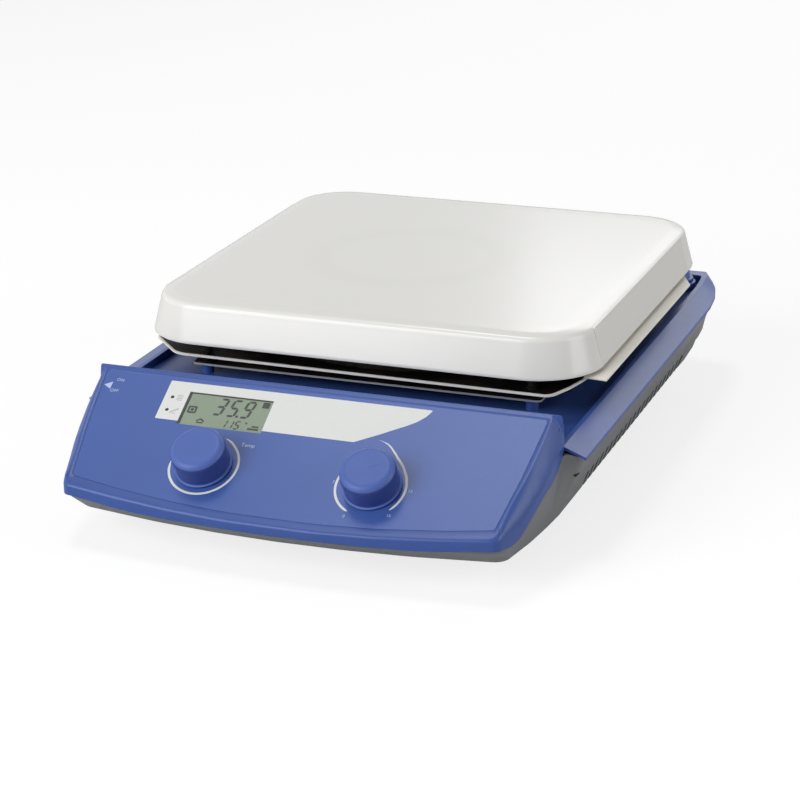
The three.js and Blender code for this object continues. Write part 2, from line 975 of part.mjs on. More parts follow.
switchFrame.position.set(
  baseLipOutline.shoulder.side - halfWidth - switchRise * Math.tan(switchLean),
  frontEdgeY + mainsSwitch.front,
  baseLipZ + switchRise,
);
switchFrame.rotation.y = -Math.PI / 2 - switchLean;
switchFrame.updateMatrix();
stirrer.add(switchFrame);
const floorHalf = halfWidth - baseFloorOutline.shoulder.side;
const firstVentY = frontEdgeY + vent.firstFront;
const lastVentY = backEdgeY - base.stepDepth - vent.pitch;
const ventCount = Math.floor((lastVentY - firstVentY) / vent.pitch) + 1;
const ventCutters = Array.from({ length: ventCount }, (_, i) => firstVentY + i * vent.pitch)
  .flatMap((y) => signs.map((side) => {
    const inner = side * (floorHalf - vent.reach / 2);
    const outer = side * (floorHalf + vent.reach);
    return box(
      [Math.min(inner, outer), Math.max(inner, outer)],
      [y - vent.width / 2, y + vent.width / 2],
      [base.floorZ - overrun, vent.top],
    );
  }));
const connectorHoles = [
  box(
    [inlet.placeX - inlet.bodyHalfX - seatGap, inlet.placeX + inlet.bodyHalfX + seatGap],
    [connectorY - base.wall - overrun, connectorY + overrun],
    [connectorZ - inlet.bodyHalfZ - seatGap, connectorZ + inlet.bodyHalfZ + seatGap],
  ),
  ...signs.map((side) => rod(screw.radius + seatGap, -overrun, overrun, 0, 0, smallSides)
    .rotateX(Math.PI / 2)
    .translate(inlet.placeX + side * inlet.screwSpread, connectorY, connectorZ)),
  ...[[fuse.placeX, fuse.bodyRadius], [socket.placeX, socket.bodyRadius]]
    .map(([x, radius]) => rod(radius + seatGap, -overrun, overrun)
      .rotateX(Math.PI / 2)
      .translate(x, connectorY, connectorZ)),
];
const switchHole = box(
  [-mainsSwitch.bodyHalfX - seatGap, mainsSwitch.bodyHalfX + seatGap],
  [-mainsSwitch.bodyHalfY - seatGap, mainsSwitch.bodyHalfY + seatGap],
  [-base.wall - overrun, overrun],
).applyMatrix4(switchFrame.matrix);
const baseCuts = [
  ...along(coverPillars, (x, y) => rod(
    coverScrew.radius + seatGap,
    base.floorZ - overrun,
    pillarJoinZ,
    x,
    y,
    smallSides,
  )),
  ...along(coverPillars, (x, y) => rod(
    coverScrew.headRadius + seatGap,
    base.floorZ - overrun,
    base.floorZ + coverScrew.headHeight + seatGap,
    x,
    y,
    smallSides,
  )),
  ...along(footPlaces, (x, y) => rod(
    screw.radius + seatGap,
    base.floorZ - overrun,
    floorTopZ + overrun,
    x,
    y,
    smallSides,
  )),
  ...ventCutters,
  ...connectorHoles,
  switchHole,
];
for (const addition of baseAdditions) {
  baseSolid = baseSolid.add(toSolid(addition));
}
for (const cutter of baseCuts) {
  baseSolid = baseSolid.subtract(toSolid(cutter));
}
addPiece('base_shell', baseSolid, baseGrey);

// Hot plate with a flat cheek set into each side
const plateRings = [
  roundedSquare(plateHalf, plate.cornerRadius, plateBottomZ, plateCentreY),
  ...plateEdgeShares.map(([inShare, upShare]) => {
    const half = plateShoulderHalf - plate.edgeDraw * inShare;
    const radius = plate.cornerRadius - plateHalf + half;
    const z = height - plate.edgeHeight + plate.edgeHeight * upShare;
    return roundedSquare(half, radius, z, plateCentreY);
  }),
];
const plateOuter = toSolid(loft(plateRings));
const plateInner = loft([
  roundedSquare(
    plateHalf - plate.wall,
    plate.cornerRadius - plate.wall,
    plateBottomZ - seatGap,
    plateCentreY,
  ),
  roundedSquare(
    plateShoulderHalf - plate.wall,
    plate.cornerRadius - plate.skirtDraw - plate.wall,
    plateUndersideZ,
    plateCentreY,
  ),
]);
const cheekHalfLength = plateHalf - plate.cornerRadius;
const cheekTopZ = height - cheek.topDrop;
const skirtLean = plate.skirtDraw / (plate.skirtHeight - plate.edgeHeight);

// Region beside the hot plate that lies outside a plane just under its sloping side
function besideSkirt(side, depthIn, trim) {
  const x0 = plateHalf - depthIn + skirtLean * overrun;
  const x1 = plateHalf - depthIn - skirtLean * (cheekTopZ - plateBottomZ);
  const outline = [
    [x0, plateBottomZ - overrun],
    [plateHalf + overrun, plateBottomZ - overrun],
    [plateHalf + overrun, cheekTopZ - trim],
    [x1, cheekTopZ - trim],
  ];
  const shape = new THREE.Shape(outline.map(([x, z]) => new THREE.Vector2(x, z)));
  const half = cheekHalfLength - trim;
  const geometry = new THREE.ExtrudeGeometry(shape, { depth: half * 2, bevelEnabled: false });
  geometry.translate(0, 0, -half).rotateX(Math.PI / 2).translate(0, plateCentreY, 0);
  return side > 0 ? geometry : geometry.rotateZ(Math.PI).translate(0, plateCentreY * 2, 0);
}
const plateSolid = signs.reduce(
  (solid, side) => solid.subtract(toSolid(besideSkirt(side, cheek.thickness + seatGap, 0))),
  plateOuter.subtract(toSolid(plateInner)),
);
addPiece('heating_plate', plateSolid, glazedWhite);
for (const [name, side] of [['side_cheek_left', -1], ['side_cheek_right', 1]]) {
  const region = toSolid(besideSkirt(side, cheek.thickness, seatGap));
  addPiece(name, plateOuter.intersect(region), cheekWhite);
}

// Posts that carry the shields and the hot plate
const shieldHalfX = plateHalf - lowerShield.sideInset;
const shieldHalfY = plateHalf - lowerShield.frontInset;
const shieldBottomZ = shieldTopZ - lowerShield.sheet;
const postProfile = [
  [0, trayFloorZ + seatGap],
  [post.footRadius, trayFloorZ + seatGap],
  [post.footRadius, shieldBottomZ - seatGap],
  [post.middleRadius, shieldBottomZ - seatGap],
  [post.middleRadius, panBottomZ - seatGap],
  [post.topRadius, panBottomZ - seatGap],
  [post.topRadius, plateUndersideZ - seatGap],
  [0, plateUndersideZ - seatGap],
];
platePosts.forEach(([x, y], i) => {
  const shape = turned(postProfile, smallSides).translate(x, y, 0);
  addPiece(`plate_post_${cornerNames[i]}`, shape, brightSteel);
});

// Heat shields
function throughShields(radius, x, y, sides) {
  return rod(radius, shieldBottomZ - overrun, panRimZ + overrun, x, y, sides);
}
addPiece('lower_heat_shield', cut(
  box(
    [-shieldHalfX, shieldHalfX],
    [plateCentreY - shieldHalfY, plateCentreY + shieldHalfY],
    [shieldBottomZ, shieldTopZ],
  ),
  throughShields(bush.flangeRadius + runningGap, 0, plateCentreY),
  ...along(platePosts, (x, y) => (
    throughShields(post.middleRadius + runningGap, x, y, smallSides)
  )),
), sheetSteel);
const panBody = loft([
  roundedSquare(panHalf - pan.sheet, pan.cornerRadius, panBottomZ, plateCentreY),
  roundedSquare(panHalf, pan.cornerRadius, panRimZ, plateCentreY),
]);
const panHollow = loft([
  roundedSquare(
    panHalf - pan.sheet * 2,
    pan.cornerRadius - pan.sheet,
    panBottomZ + pan.sheet,
    plateCentreY,
  ),
  roundedSquare(panHalf - pan.sheet, pan.cornerRadius - pan.sheet, panRimZ, plateCentreY),
]);
const flangeFrontY = plateCentreY - pan.flangeFrontLength;
const flangeBackY = plateCentreY + pan.flangeBackLength;
const flangeWeb = box(
  [panHalf - pan.sheet, panHalf],
  [flangeFrontY, flangeBackY + pan.flangeBackSlant],
  [panRimZ - pan.sheet, flangeTopZ],
);
const flangeSheet = raised([
  [panHalf - pan.sheet, flangeFrontY],
  [panHalf + pan.flangeReach, flangeFrontY],
  [panHalf + pan.flangeReach, flangeBackY],
  [panHalf - pan.sheet, flangeBackY + pan.flangeBackSlant],
], flangeTopZ - pan.sheet, flangeTopZ);
const panSolid = [panBody, flangeWeb, flangeSheet].map(toSolid)
  .reduce((sum, solid) => sum.add(solid));
const panHoles = [
  panHollow,
  throughShields(bush.flangeRadius + runningGap, 0, plateCentreY),
  ...along(platePosts, (x, y) => (
    throughShields(post.topRadius + runningGap, x, y, smallSides)
  )),
];
addPiece(
  'heat_shield_pan',
  panHoles.reduce((solid, cutter) => solid.subtract(toSolid(cutter)), panSolid),
  sheetSteel,
);

// Heater pressed to the hot plate by a ring of insulation
const heaterTopZ = plateUndersideZ - seatGap;
const heaterBottomZ = heaterTopZ - heater.thickness;
addPiece('heating_element', cut(
  rod(heaterRadius, heaterBottomZ, heaterTopZ, 0, plateCentreY, largeSides),
  rod(heaterBore, heaterBottomZ - overrun, height, 0, plateCentreY, largeSides),
), brightSteel);
const insulationBottomZ = panBottomZ + pan.sheet + seatGap;
addPiece('insulation_ring', cut(
  rod(
    insulationRadius,
    insulationBottomZ,
    heaterBottomZ - seatGap,
    0,
    plateCentreY,
    largeSides,
  ),
  rod(insulationBore, panBottomZ, height, 0, plateCentreY, largeSides),
), fibreWhite);
addPiece('plate_temperature_sensor', rod(
  plateSensor.radius,
  heaterTopZ - plateSensor.height,
  heaterTopZ,
  plateSensor.placeX,
  plateCentreY,
), brass);
const limiterBearing = THREE.MathUtils.degToRad(limiter.bearingDegrees);
const limiterReach = insulationRadius + limiter.gap + limiter.radius;
addPiece('overheat_limiter', rod(
  limiter.radius,
  insulationBottomZ,
  insulationBottomZ + limiter.height,
  limiterReach * Math.cos(limiterBearing),
  plateCentreY + limiterReach * Math.sin(limiterBearing),
), brass);

// Motor on its bracket under the cover
addPiece('motor_bracket', cut(
  box(
    [-motor.bracketHalf, motor.bracketHalf],
    [plateCentreY - motor.bracketHalf, plateCentreY + motor.bracketHalf],
    [bracketZ, bracketTopZ],
  ),
  rod(motor.noseRadius + seatGap, bracketZ - overrun, height, 0, plateCentreY),
  ...along(motorPillars, (x, y) => (
    rod(pin.radius + seatGap, bracketZ - overrun, bracketTopZ + overrun, x, y, smallSides)
  )),
), sheetSteel);
const canTopZ = bracketZ - seatGap;
const shaftBottomZ = bracketZ - shaft.depthInMotor;
const shaftTopZ = plateUndersideZ - shaft.plateGap;
addPiece('motor_body', cut(
  toGeometry(unite(
    rod(motor.canRadius, floorTopZ + motor.floorGap, canTopZ, 0, plateCentreY, largeSides),
    rod(motor.noseRadius, canTopZ - seatGap, canTopZ + motor.nosePad, 0, plateCentreY),
  )),
  rod(shaft.radius + runningGap, shaftBottomZ - seatGap, height, 0, plateCentreY),
), brightSteel);
addPiece('shaft_bush', cut(
  toGeometry(unite(
    rod(
      bush.outerRadius,
      coverCeiling + seatGap,
      trayFloorZ + seatGap + bush.flange / 2,
      0,
      plateCentreY,
    ),
    rod(
      bush.flangeRadius,
      trayFloorZ + seatGap,
      trayFloorZ + seatGap + bush.flange,
      0,
      plateCentreY,
    ),
  )),
  rod(shaft.radius + runningGap, 0, height, 0, plateCentreY),
), brass);

// Rotor
addPiece('motor_shaft', rod(shaft.radius, shaftBottomZ, shaftTopZ, 0, plateCentreY), brightSteel);
addPiece('magnet_carrier', cut(
  toGeometry(unite(
    rod(
      carrier.radius,
      carrierZ,
      carrierZ + carrier.plateThickness,
      0,
      plateCentreY,
      largeSides,
    ),
    rod(carrier.hubRadius, carrierZ - carrier.hubBelow, carrierZ + carrier.hubAbove, 0, plateCentreY),
  )),
  rod(shaft.radius + seatGap, 0, height, 0, plateCentreY),
), blackPlastic);
const magnetBottomZ = carrierZ + carrier.plateThickness + seatGap;
addPiece('drive_magnet', cut(
  box(
    [-magnet.length / 2, magnet.length / 2],
    [plateCentreY - magnet.width / 2, plateCentreY + magnet.width / 2],
    [magnetBottomZ, magnetBottomZ + magnet.height],
  ),
  rod(carrier.hubRadius + seatGap, 0, height, 0, plateCentreY),
), magnetGrey);

// Panel foil, window, display and indicators
const foilBottom = -panel.recessDepth + seatGap;
addPiece('panel_foil', cut(
  raised(recessOutline(foil.margin), foilBottom, foilBottom + foil.thickness),
  windowHole(),
  ...signs.map((side) => rod(
    encoder.bushRadius + seatGap,
    -overrun,
    overrun,
    side * knob.placeX,
    knob.placeV,
  )),
  ...[led.upperV, led.lowerV].map((v) => rod(
    led.radius + seatGap,
    -overrun,
    overrun,
    ledX,
    v,
    smallSides,
  )),
), foilBlue, panelGroup);

// A box centred on the window, drawn in by margins
function onWindow(marginX, marginV, z0, z1) {
  return box(
    [window.centreX - window.width / 2 + marginX, window.centreX + window.width / 2 - marginX],
    [window.centreV - window.height / 2 + marginV, window.centreV + window.height / 2 - marginV],
    [z0, z1],
  );
}
const windowTop = -seatGap;
const windowBottom = windowTop - window.thickness;
addPiece(
  'display_window',
  onWindow(seatGap, seatGap, windowBottom, windowTop),
  clearWindow,
  panelGroup,
);
addPiece('display_module', unite(
  onWindow(
    -display.marginX,
    -display.marginV,
    boardTop + seatGap,
    panelUnderside - seatGap,
  ),
  onWindow(seatGap, seatGap, panelUnderside - cover.wall, windowBottom - seatGap),
), displayGreen, panelGroup);
const ledProfile = [
  [0, boardTop + seatGap],
  [led.flangeRadius, boardTop + seatGap],
  [led.flangeRadius, boardTop + seatGap + led.flangeHeight],
  [led.radius, boardTop + seatGap + led.flangeHeight],
  [led.radius, foilBottom],
  [0, foilBottom + foil.thickness],
];
for (const [name, v] of [['indicator_upper', led.upperV], ['indicator_lower', led.lowerV]]) {
  addPiece(
    name,
    turned(ledProfile, smallSides).translate(ledX, v, 0),
    indicatorAmber,
    panelGroup,
  );
}

// Control board with its encoders
addPiece('control_board', cut(
  box(
    [-controlBoardHalf, controlBoardHalf],
    [controlBoard.frontV, controlBoard.backV],
    [boardBottom, boardTop],
  ),
  ...along(boardPosts, (x, v) => (
    rod(pin.radius + seatGap, boardBottom - overrun, boardTop + overrun, x, v, smallSides)
  )),
), boardGreen, panelGroup);

function addDial(name, side) {
  const frame = new THREE.Group();
  frame.position.set(side * knob.placeX, knob.placeV, 0);
  panelGroup.add(frame);
  const body = box(
    [-encoder.half, encoder.half],
    [-encoder.half, encoder.half],
    [boardTop + seatGap, panelUnderside - seatGap],
  );
  addPiece(`${name}_encoder`, cut(
    toGeometry(unite(body, rod(encoder.bushRadius, boardTop + seatGap, encoder.bushTop))),
    rod(encoder.shaftRadius + runningGap, encoder.shaftRoot - seatGap, overrun),
  ), sheetSteel, frame);
  const nut = new THREE.CylinderGeometry(
    encoder.nutRadius,
    encoder.nutRadius,
    encoder.nutHeight,
    6,
  );
  nut.rotateX(Math.PI / 2).translate(0, 0, encoder.nutLift + encoder.nutHeight / 2);
  addPiece(`${name}_encoder_nut`, cut(
    nut,
    rod(encoder.bushRadius + seatGap, -overrun, overrun),
  ), brightSteel, frame);
  addPiece(
    `${name}_shaft`,
    rod(encoder.shaftRadius, encoder.shaftRoot, encoder.shaftTop),
    brass,
    frame,
  );
  const outside = turned([
    [0, knob.lift],
    [knob.radius, knob.lift],
    [knob.radius, knob.skirt],
    [knob.waistRadius, knob.skirt + knob.edge / 2],
    [knob.topRadius, knob.height - knob.edge],
    [knob.topRadius - knob.edge, knob.height],
    [0, knob.height],
  ], largeSides);
  const cavity = cut(
    rod(knob.waistRadius - knob.wall, -overrun, knob.height - knob.roof),
    rod(knob.hubRadius, knob.hubLift, knob.height),
  );
  const bore = rod(encoder.shaftRadius + seatGap, 0, encoder.shaftTop + seatGap);
  const solid = toSolid(outside).subtract(cavity).subtract(toSolid(bore));
  addPiece(`${name}_knob`, solid, knobBlue, frame);
}
addDial('temperature', -1);
addDial('speed', 1);

// Power board with its transformer and heatsink
const powerMiddleX = (powerLeftX + powerRightX) / 2;
addPiece('power_board', cut(
  box(
    [powerLeftX, powerRightX],
    [powerFrontY, powerBackY],
    [powerBoardBottom, powerTopZ],
  ),
  ...along(powerPosts, (x, y) => (
    rod(pin.radius + seatGap, powerBoardBottom - overrun, height, x, y, smallSides)
  )),
), boardGreen);
const onBoardZ = powerTopZ + seatGap;
const transformerY = powerBackY - transformer.backInset;
const heatsinkY = powerFrontY + heatsink.frontInset;
addPiece('power_transformer', box(
  [powerMiddleX - transformer.halfX, powerMiddleX + transformer.halfX],
  [transformerY - transformer.halfY, transformerY + transformer.halfY],
  [onBoardZ, coverCeiling - transformer.roofGap],
), blackPlastic);
const finPitch = heatsink.halfX * 2 / (finCount - 1);
addPiece('heatsink', unite(
  box(
    [powerMiddleX - heatsink.halfX, powerMiddleX + heatsink.halfX],
    [heatsinkY, heatsinkY + heatsink.thickness / 2],
    [onBoardZ, coverCeiling - heatsink.roofGap],
  ),
  ...Array.from({ length: finCount }, (_, i) => {
    const x = powerMiddleX - heatsink.halfX + i * finPitch;
    const halfFin = heatsink.thickness / 4;
    return box(
      [x - halfFin, x + halfFin],
      [heatsinkY - heatsink.finDepth, heatsinkY + heatsink.thickness / 2],
      [onBoardZ, coverCeiling - heatsink.roofGap],
    );
  }),
), brightSteel);

// Rear connectors, in a frame whose Z points out of the back
const rear = new THREE.Group();
rear.position.set(0, connectorY, connectorZ);
rear.rotation.x = -Math.PI / 2;
stirrer.add(rear);
const flangeBottom = seatGap;
const inletOuter = unite(
  box(
    [-inlet.flangeHalfX, inlet.flangeHalfX],
    [-inlet.flangeHalfZ, inlet.flangeHalfZ],
    [flangeBottom, flangeBottom + inlet.flange],
  ),
  box(
    [-inlet.bodyHalfX, inlet.bodyHalfX],
    [-inlet.bodyHalfZ, inlet.bodyHalfZ],
    [-inlet.bodyDepth, flangeBottom + inlet.flange / 2],
  ),
);
const inletFace = flangeBottom + inlet.flange;
const inletMouth = box(
  [-inlet.mouthHalfX, inlet.mouthHalfX],
  [-inlet.mouthHalfZ, inlet.mouthHalfZ],
  [inletFace - inlet.mouthDepth, overrun],
);
const inletPins = [[-inlet.pinSpread, 0], [0, -inlet.pinDrop], [inlet.pinSpread, 0]];
let inletSolid = inletOuter.subtract(toSolid(inletMouth));
for (const [x, y] of inletPins) {
  inletSolid = inletSolid.add(toSolid(box(
    [x - inlet.pinHalfX, x + inlet.pinHalfX],
    [y - inlet.pinHalfZ, y + inlet.pinHalfZ],
    [
      inletFace - inlet.mouthDepth - seatGap,
      inletFace - inlet.mouthDepth + inlet.pinLength,
    ],
  )));
}
const inletScrewPlaces = signs.map((side) => [side * inlet.screwSpread, 0]);
for (const [x, y] of inletScrewPlaces) {
  const hole = rod(screw.radius + seatGap, -overrun, overrun, x, y, smallSides);
  inletSolid = inletSolid.subtract(toSolid(hole));
}
const inletFrame = new THREE.Group();
inletFrame.position.x = inlet.placeX;
rear.add(inletFrame);
addPiece('mains_inlet', inletSolid, blackPlastic, inletFrame);
['left', 'right'].forEach((place, i) => {
  const [x, y] = inletScrewPlaces[i];
  const length = base.wall * 2 + inlet.flange;
  const shape = screwShape(screw.radius, screw.headRadius, screw.headHeight, length);
  shape.rotateX(Math.PI).translate(x, y, inletFace + seatGap);
  addPiece(`mains_inlet_screw_${place}`, shape, brightSteel, inletFrame);
});

function roundConnector(name, sizes, mouthRadius, mouthDepth) {
  const face = flangeBottom + sizes.flange;
  return addPiece(name, cut(
    toGeometry(unite(
      rod(sizes.flangeRadius, flangeBottom, face, sizes.placeX),
      rod(sizes.bodyRadius, -sizes.bodyDepth, flangeBottom + sizes.flange / 2, sizes.placeX),
    )),
    rod(mouthRadius, face - mouthDepth, face + overrun, sizes.placeX),
  ), blackPlastic, rear);
}
roundConnector('sensor_socket', socket, socket.mouthRadius, socket.mouthDepth);
const fuseMouth = fuse.capDepth + seatGap;
roundConnector('fuse_holder', fuse, fuse.capRadius + runningGap, fuseMouth);
const fuseFace = flangeBottom + fuse.flange;
addPiece('fuse_cap', cut(
  rod(
    fuse.capRadius,
    fuseFace - fuse.capDepth,
    fuseFace + fuse.capProud,
    fuse.placeX,
  ),
  box(
    [fuse.placeX - fuse.capRadius - overrun, fuse.placeX + fuse.capRadius + overrun],
    [-fuse.slotWidth / 2, fuse.slotWidth / 2],
    [fuseFace + fuse.capProud - fuse.slotDepth, fuseFace + fuse.capProud + overrun],
  ),
), blackPlastic, rear);

// Socket for a support rod
const rodFootZ = housingHeight + seatGap;
addPiece('rod_socket', turned([
  [0, rodFootZ],
  [rodSocket.footRadius, rodFootZ],
  [rodSocket.footRadius, rodFootZ + rodSocket.footHeight],
  [rodSocket.neckRadius, rodFootZ + rodSocket.footHeight],
  [rodSocket.topRadius, rodFootZ + rodSocket.height],
  [rodSocket.bore, rodFootZ + rodSocket.height],
  [rodSocket.bore, rodFootZ + rodSocket.boreFloor],
  [0, rodFootZ + rodSocket.boreFloor],
]).translate(rodSocketX, rodSocketY, 0), housingBlue);

// Mains switch, in a frame whose Z points out of the left wall and whose X points up the wall
addPiece('switch_housing', cut(
  toGeometry(unite(
    box(
      [-mainsSwitch.bezelHalfX, mainsSwitch.bezelHalfX],
      [-mainsSwitch.bezelHalfY, mainsSwitch.bezelHalfY],
      [seatGap, seatGap + mainsSwitch.bezel],
    ),
    box(
      [-mainsSwitch.bodyHalfX, mainsSwitch.bodyHalfX],
      [-mainsSwitch.bodyHalfY, mainsSwitch.bodyHalfY],
      [-mainsSwitch.bodyDepth, seatGap + mainsSwitch.bezel / 2],
    ),
  )),
  box(
    [-mainsSwitch.mouthHalfX, mainsSwitch.mouthHalfX],
    [-mainsSwitch.mouthHalfY, mainsSwitch.mouthHalfY],
    [-mainsSwitch.mouthDepth, overrun],
  ),
), blackPlastic, switchFrame);
const rockerHalfX = mainsSwitch.mouthHalfX - mainsSwitch.rockerGap;
const rockerHalfY = mainsSwitch.mouthHalfY - mainsSwitch.rockerGap * 2;
const rockerTop = seatGap + mainsSwitch.bezel + mainsSwitch.rockerProud;
const rockerBottom = -mainsSwitch.rockerDepth;
const rocker = addPiece('switch_rocker', acrossX([
  [-rockerHalfY, rockerBottom / 2],
  [0, rockerBottom],
  [rockerHalfY, rockerBottom / 2],
  [rockerHalfY, rockerTop],
  [0, rockerTop - mainsSwitch.crown],
  [-rockerHalfY, rockerTop],
], rockerHalfX), blackPlastic, switchFrame);
rocker.rotation.x = THREE.MathUtils.degToRad(-rockerTiltDegrees);

// Feet and their screws
const footTopZ = base.floorZ - seatGap;
const footProfile = [
  [foot.bore, foot.cupHeight],
  [foot.cupRadius, foot.cupHeight],
  [foot.cupRadius, 0],
  [foot.bottomRadius, 0],
  [foot.topRadius, footTopZ],
  [foot.bore, footTopZ],
  [foot.bore, foot.cupHeight],
];
footPlaces.forEach(([x, y], i) => {
  addPiece(`foot_${cornerNames[i]}`, turned(footProfile).translate(x, y, 0), rubberBlack);
});
cornerScrews(
  'foot_screw',
  footPlaces,
  foot.cupHeight - seatGap,
  floorTopZ - foot.cupHeight + seatGap * 2,
  screw,
);
cornerScrews(
  'cover_screw',
  coverPillars,
  base.floorZ + coverScrew.headHeight,
  pillarJoinZ + coverScrew.bite - cover.wall - base.floorZ - coverScrew.headHeight - seatGap,
  coverScrew,
);

export default stirrer;
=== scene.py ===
# How the heated stirrer looks: enamelled plate, blue housing with its printed panel, grey base.
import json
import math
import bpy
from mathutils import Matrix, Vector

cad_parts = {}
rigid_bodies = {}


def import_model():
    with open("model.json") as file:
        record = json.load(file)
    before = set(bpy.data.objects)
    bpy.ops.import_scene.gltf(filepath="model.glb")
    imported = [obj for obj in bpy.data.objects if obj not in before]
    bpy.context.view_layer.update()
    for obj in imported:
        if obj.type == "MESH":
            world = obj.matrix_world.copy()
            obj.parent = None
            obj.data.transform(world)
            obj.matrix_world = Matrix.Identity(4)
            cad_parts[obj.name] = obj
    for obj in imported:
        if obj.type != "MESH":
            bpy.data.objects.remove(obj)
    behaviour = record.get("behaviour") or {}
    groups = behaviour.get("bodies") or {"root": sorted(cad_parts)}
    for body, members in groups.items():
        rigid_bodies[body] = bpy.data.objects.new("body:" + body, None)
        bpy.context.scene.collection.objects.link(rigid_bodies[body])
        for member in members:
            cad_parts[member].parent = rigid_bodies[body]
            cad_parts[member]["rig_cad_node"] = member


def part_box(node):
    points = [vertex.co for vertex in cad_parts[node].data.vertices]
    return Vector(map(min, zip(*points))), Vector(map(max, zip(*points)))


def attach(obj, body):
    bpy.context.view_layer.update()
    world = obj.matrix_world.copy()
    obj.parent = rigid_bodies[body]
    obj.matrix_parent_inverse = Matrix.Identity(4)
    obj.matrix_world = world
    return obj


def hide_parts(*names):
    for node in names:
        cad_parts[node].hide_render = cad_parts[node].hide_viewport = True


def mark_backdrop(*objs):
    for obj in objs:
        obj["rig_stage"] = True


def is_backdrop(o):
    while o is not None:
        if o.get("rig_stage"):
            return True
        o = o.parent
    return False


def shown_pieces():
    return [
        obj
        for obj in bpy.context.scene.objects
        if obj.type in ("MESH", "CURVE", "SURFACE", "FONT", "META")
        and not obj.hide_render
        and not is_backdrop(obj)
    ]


bl_info = {
    "name": "Heated stirrer look",
    "version": (1, 1, 0),
    "blender": (4, 5, 0),
    "location": "3D View > Sidebar > Stirrer",
    "description": "Builds the visible pieces of a heated magnetic stirrer over its solids",
    "category": "Object",
}

import bmesh
import bpy
import numpy as np
from mathutils import Matrix, Vector
from mathutils.geometry import tessellate_polygon

MM = 0.001


def srgb(*levels):
    """Linear colour of three screen levels from 0 to 255."""
    part = np.array(levels, float) / 255
    low = part / 12.92
    high = ((part + 0.055) / 1.055) ** 2.4
    return tuple(float(x) for x in np.where(part <= 0.04045, low, high))


# ---------------------------------------------------------------- sizes and colours a user changes


class StirrerSizes(bpy.types.PropertyGroup):
    crest_edge: bpy.props.FloatProperty(
        name="Crest edge", description="Rounding along the front edge of the panel block",
        default=0.0011, min=0.0006, max=0.004, unit="LENGTH")
    side_edge: bpy.props.FloatProperty(
        name="Side edge", description="Width of the soft edge along the sides of the panel block",
        default=0.006, min=0.002, max=0.008, unit="LENGTH")
    knob_edge: bpy.props.FloatProperty(
        name="Knob edge", description="Rounding of the top edge of both knobs",
        default=0.004, min=0.0004, max=0.006, unit="LENGTH")
    arc_width: bpy.props.FloatProperty(
        name="Scale arc width", description="Width of the printed arcs round the knobs",
        default=0.00135, min=0.0005, max=0.003, unit="LENGTH")


class StirrerColours(bpy.types.PropertyGroup):
    enamel: bpy.props.FloatVectorProperty(
        name="Enamel", description="Plate and skirt", subtype="COLOR", size=3,
        min=0, max=1, default=srgb(232, 231, 227))
    cover: bpy.props.FloatVectorProperty(
        name="Cover", description="Moulded blue housing", subtype="COLOR", size=3,
        min=0, max=1, default=srgb(58, 86, 156))
    foil: bpy.props.FloatVectorProperty(
        name="Panel foil", description="Blue film on the control panel", subtype="COLOR", size=3,
        min=0, max=1, default=srgb(58, 88, 160))
    base: bpy.props.FloatVectorProperty(
        name="Base", description="Grey lower housing", subtype="COLOR", size=3,
        min=0, max=1, default=srgb(124, 125, 127))
    printing: bpy.props.FloatVectorProperty(
        name="Print", description="White print on the panel", subtype="COLOR", size=3,
        min=0, max=1, default=srgb(226, 228, 225))
    screen: bpy.props.FloatVectorProperty(
        name="Screen", description="Grey green of the display", subtype="COLOR", size=3,
        min=0, max=1, default=srgb(127, 144, 121))


# ---------------------------------------------------------------- shaders


class Wire:
    """An output socket that can stand in a sum: wire * 2, 1 - wire, 0.3 + wire."""

    def __init__(self, shader, socket):
        self.shader, self.socket = shader, socket

    def __add__(self, other):
        return self.shader.maths("ADD", self, other)

    def __radd__(self, other):
        return self.shader.maths("ADD", other, self)

    def __rsub__(self, other):
        return self.shader.maths("SUBTRACT", other, self)

    def __mul__(self, other):
        return self.shader.maths("MULTIPLY", self, other)


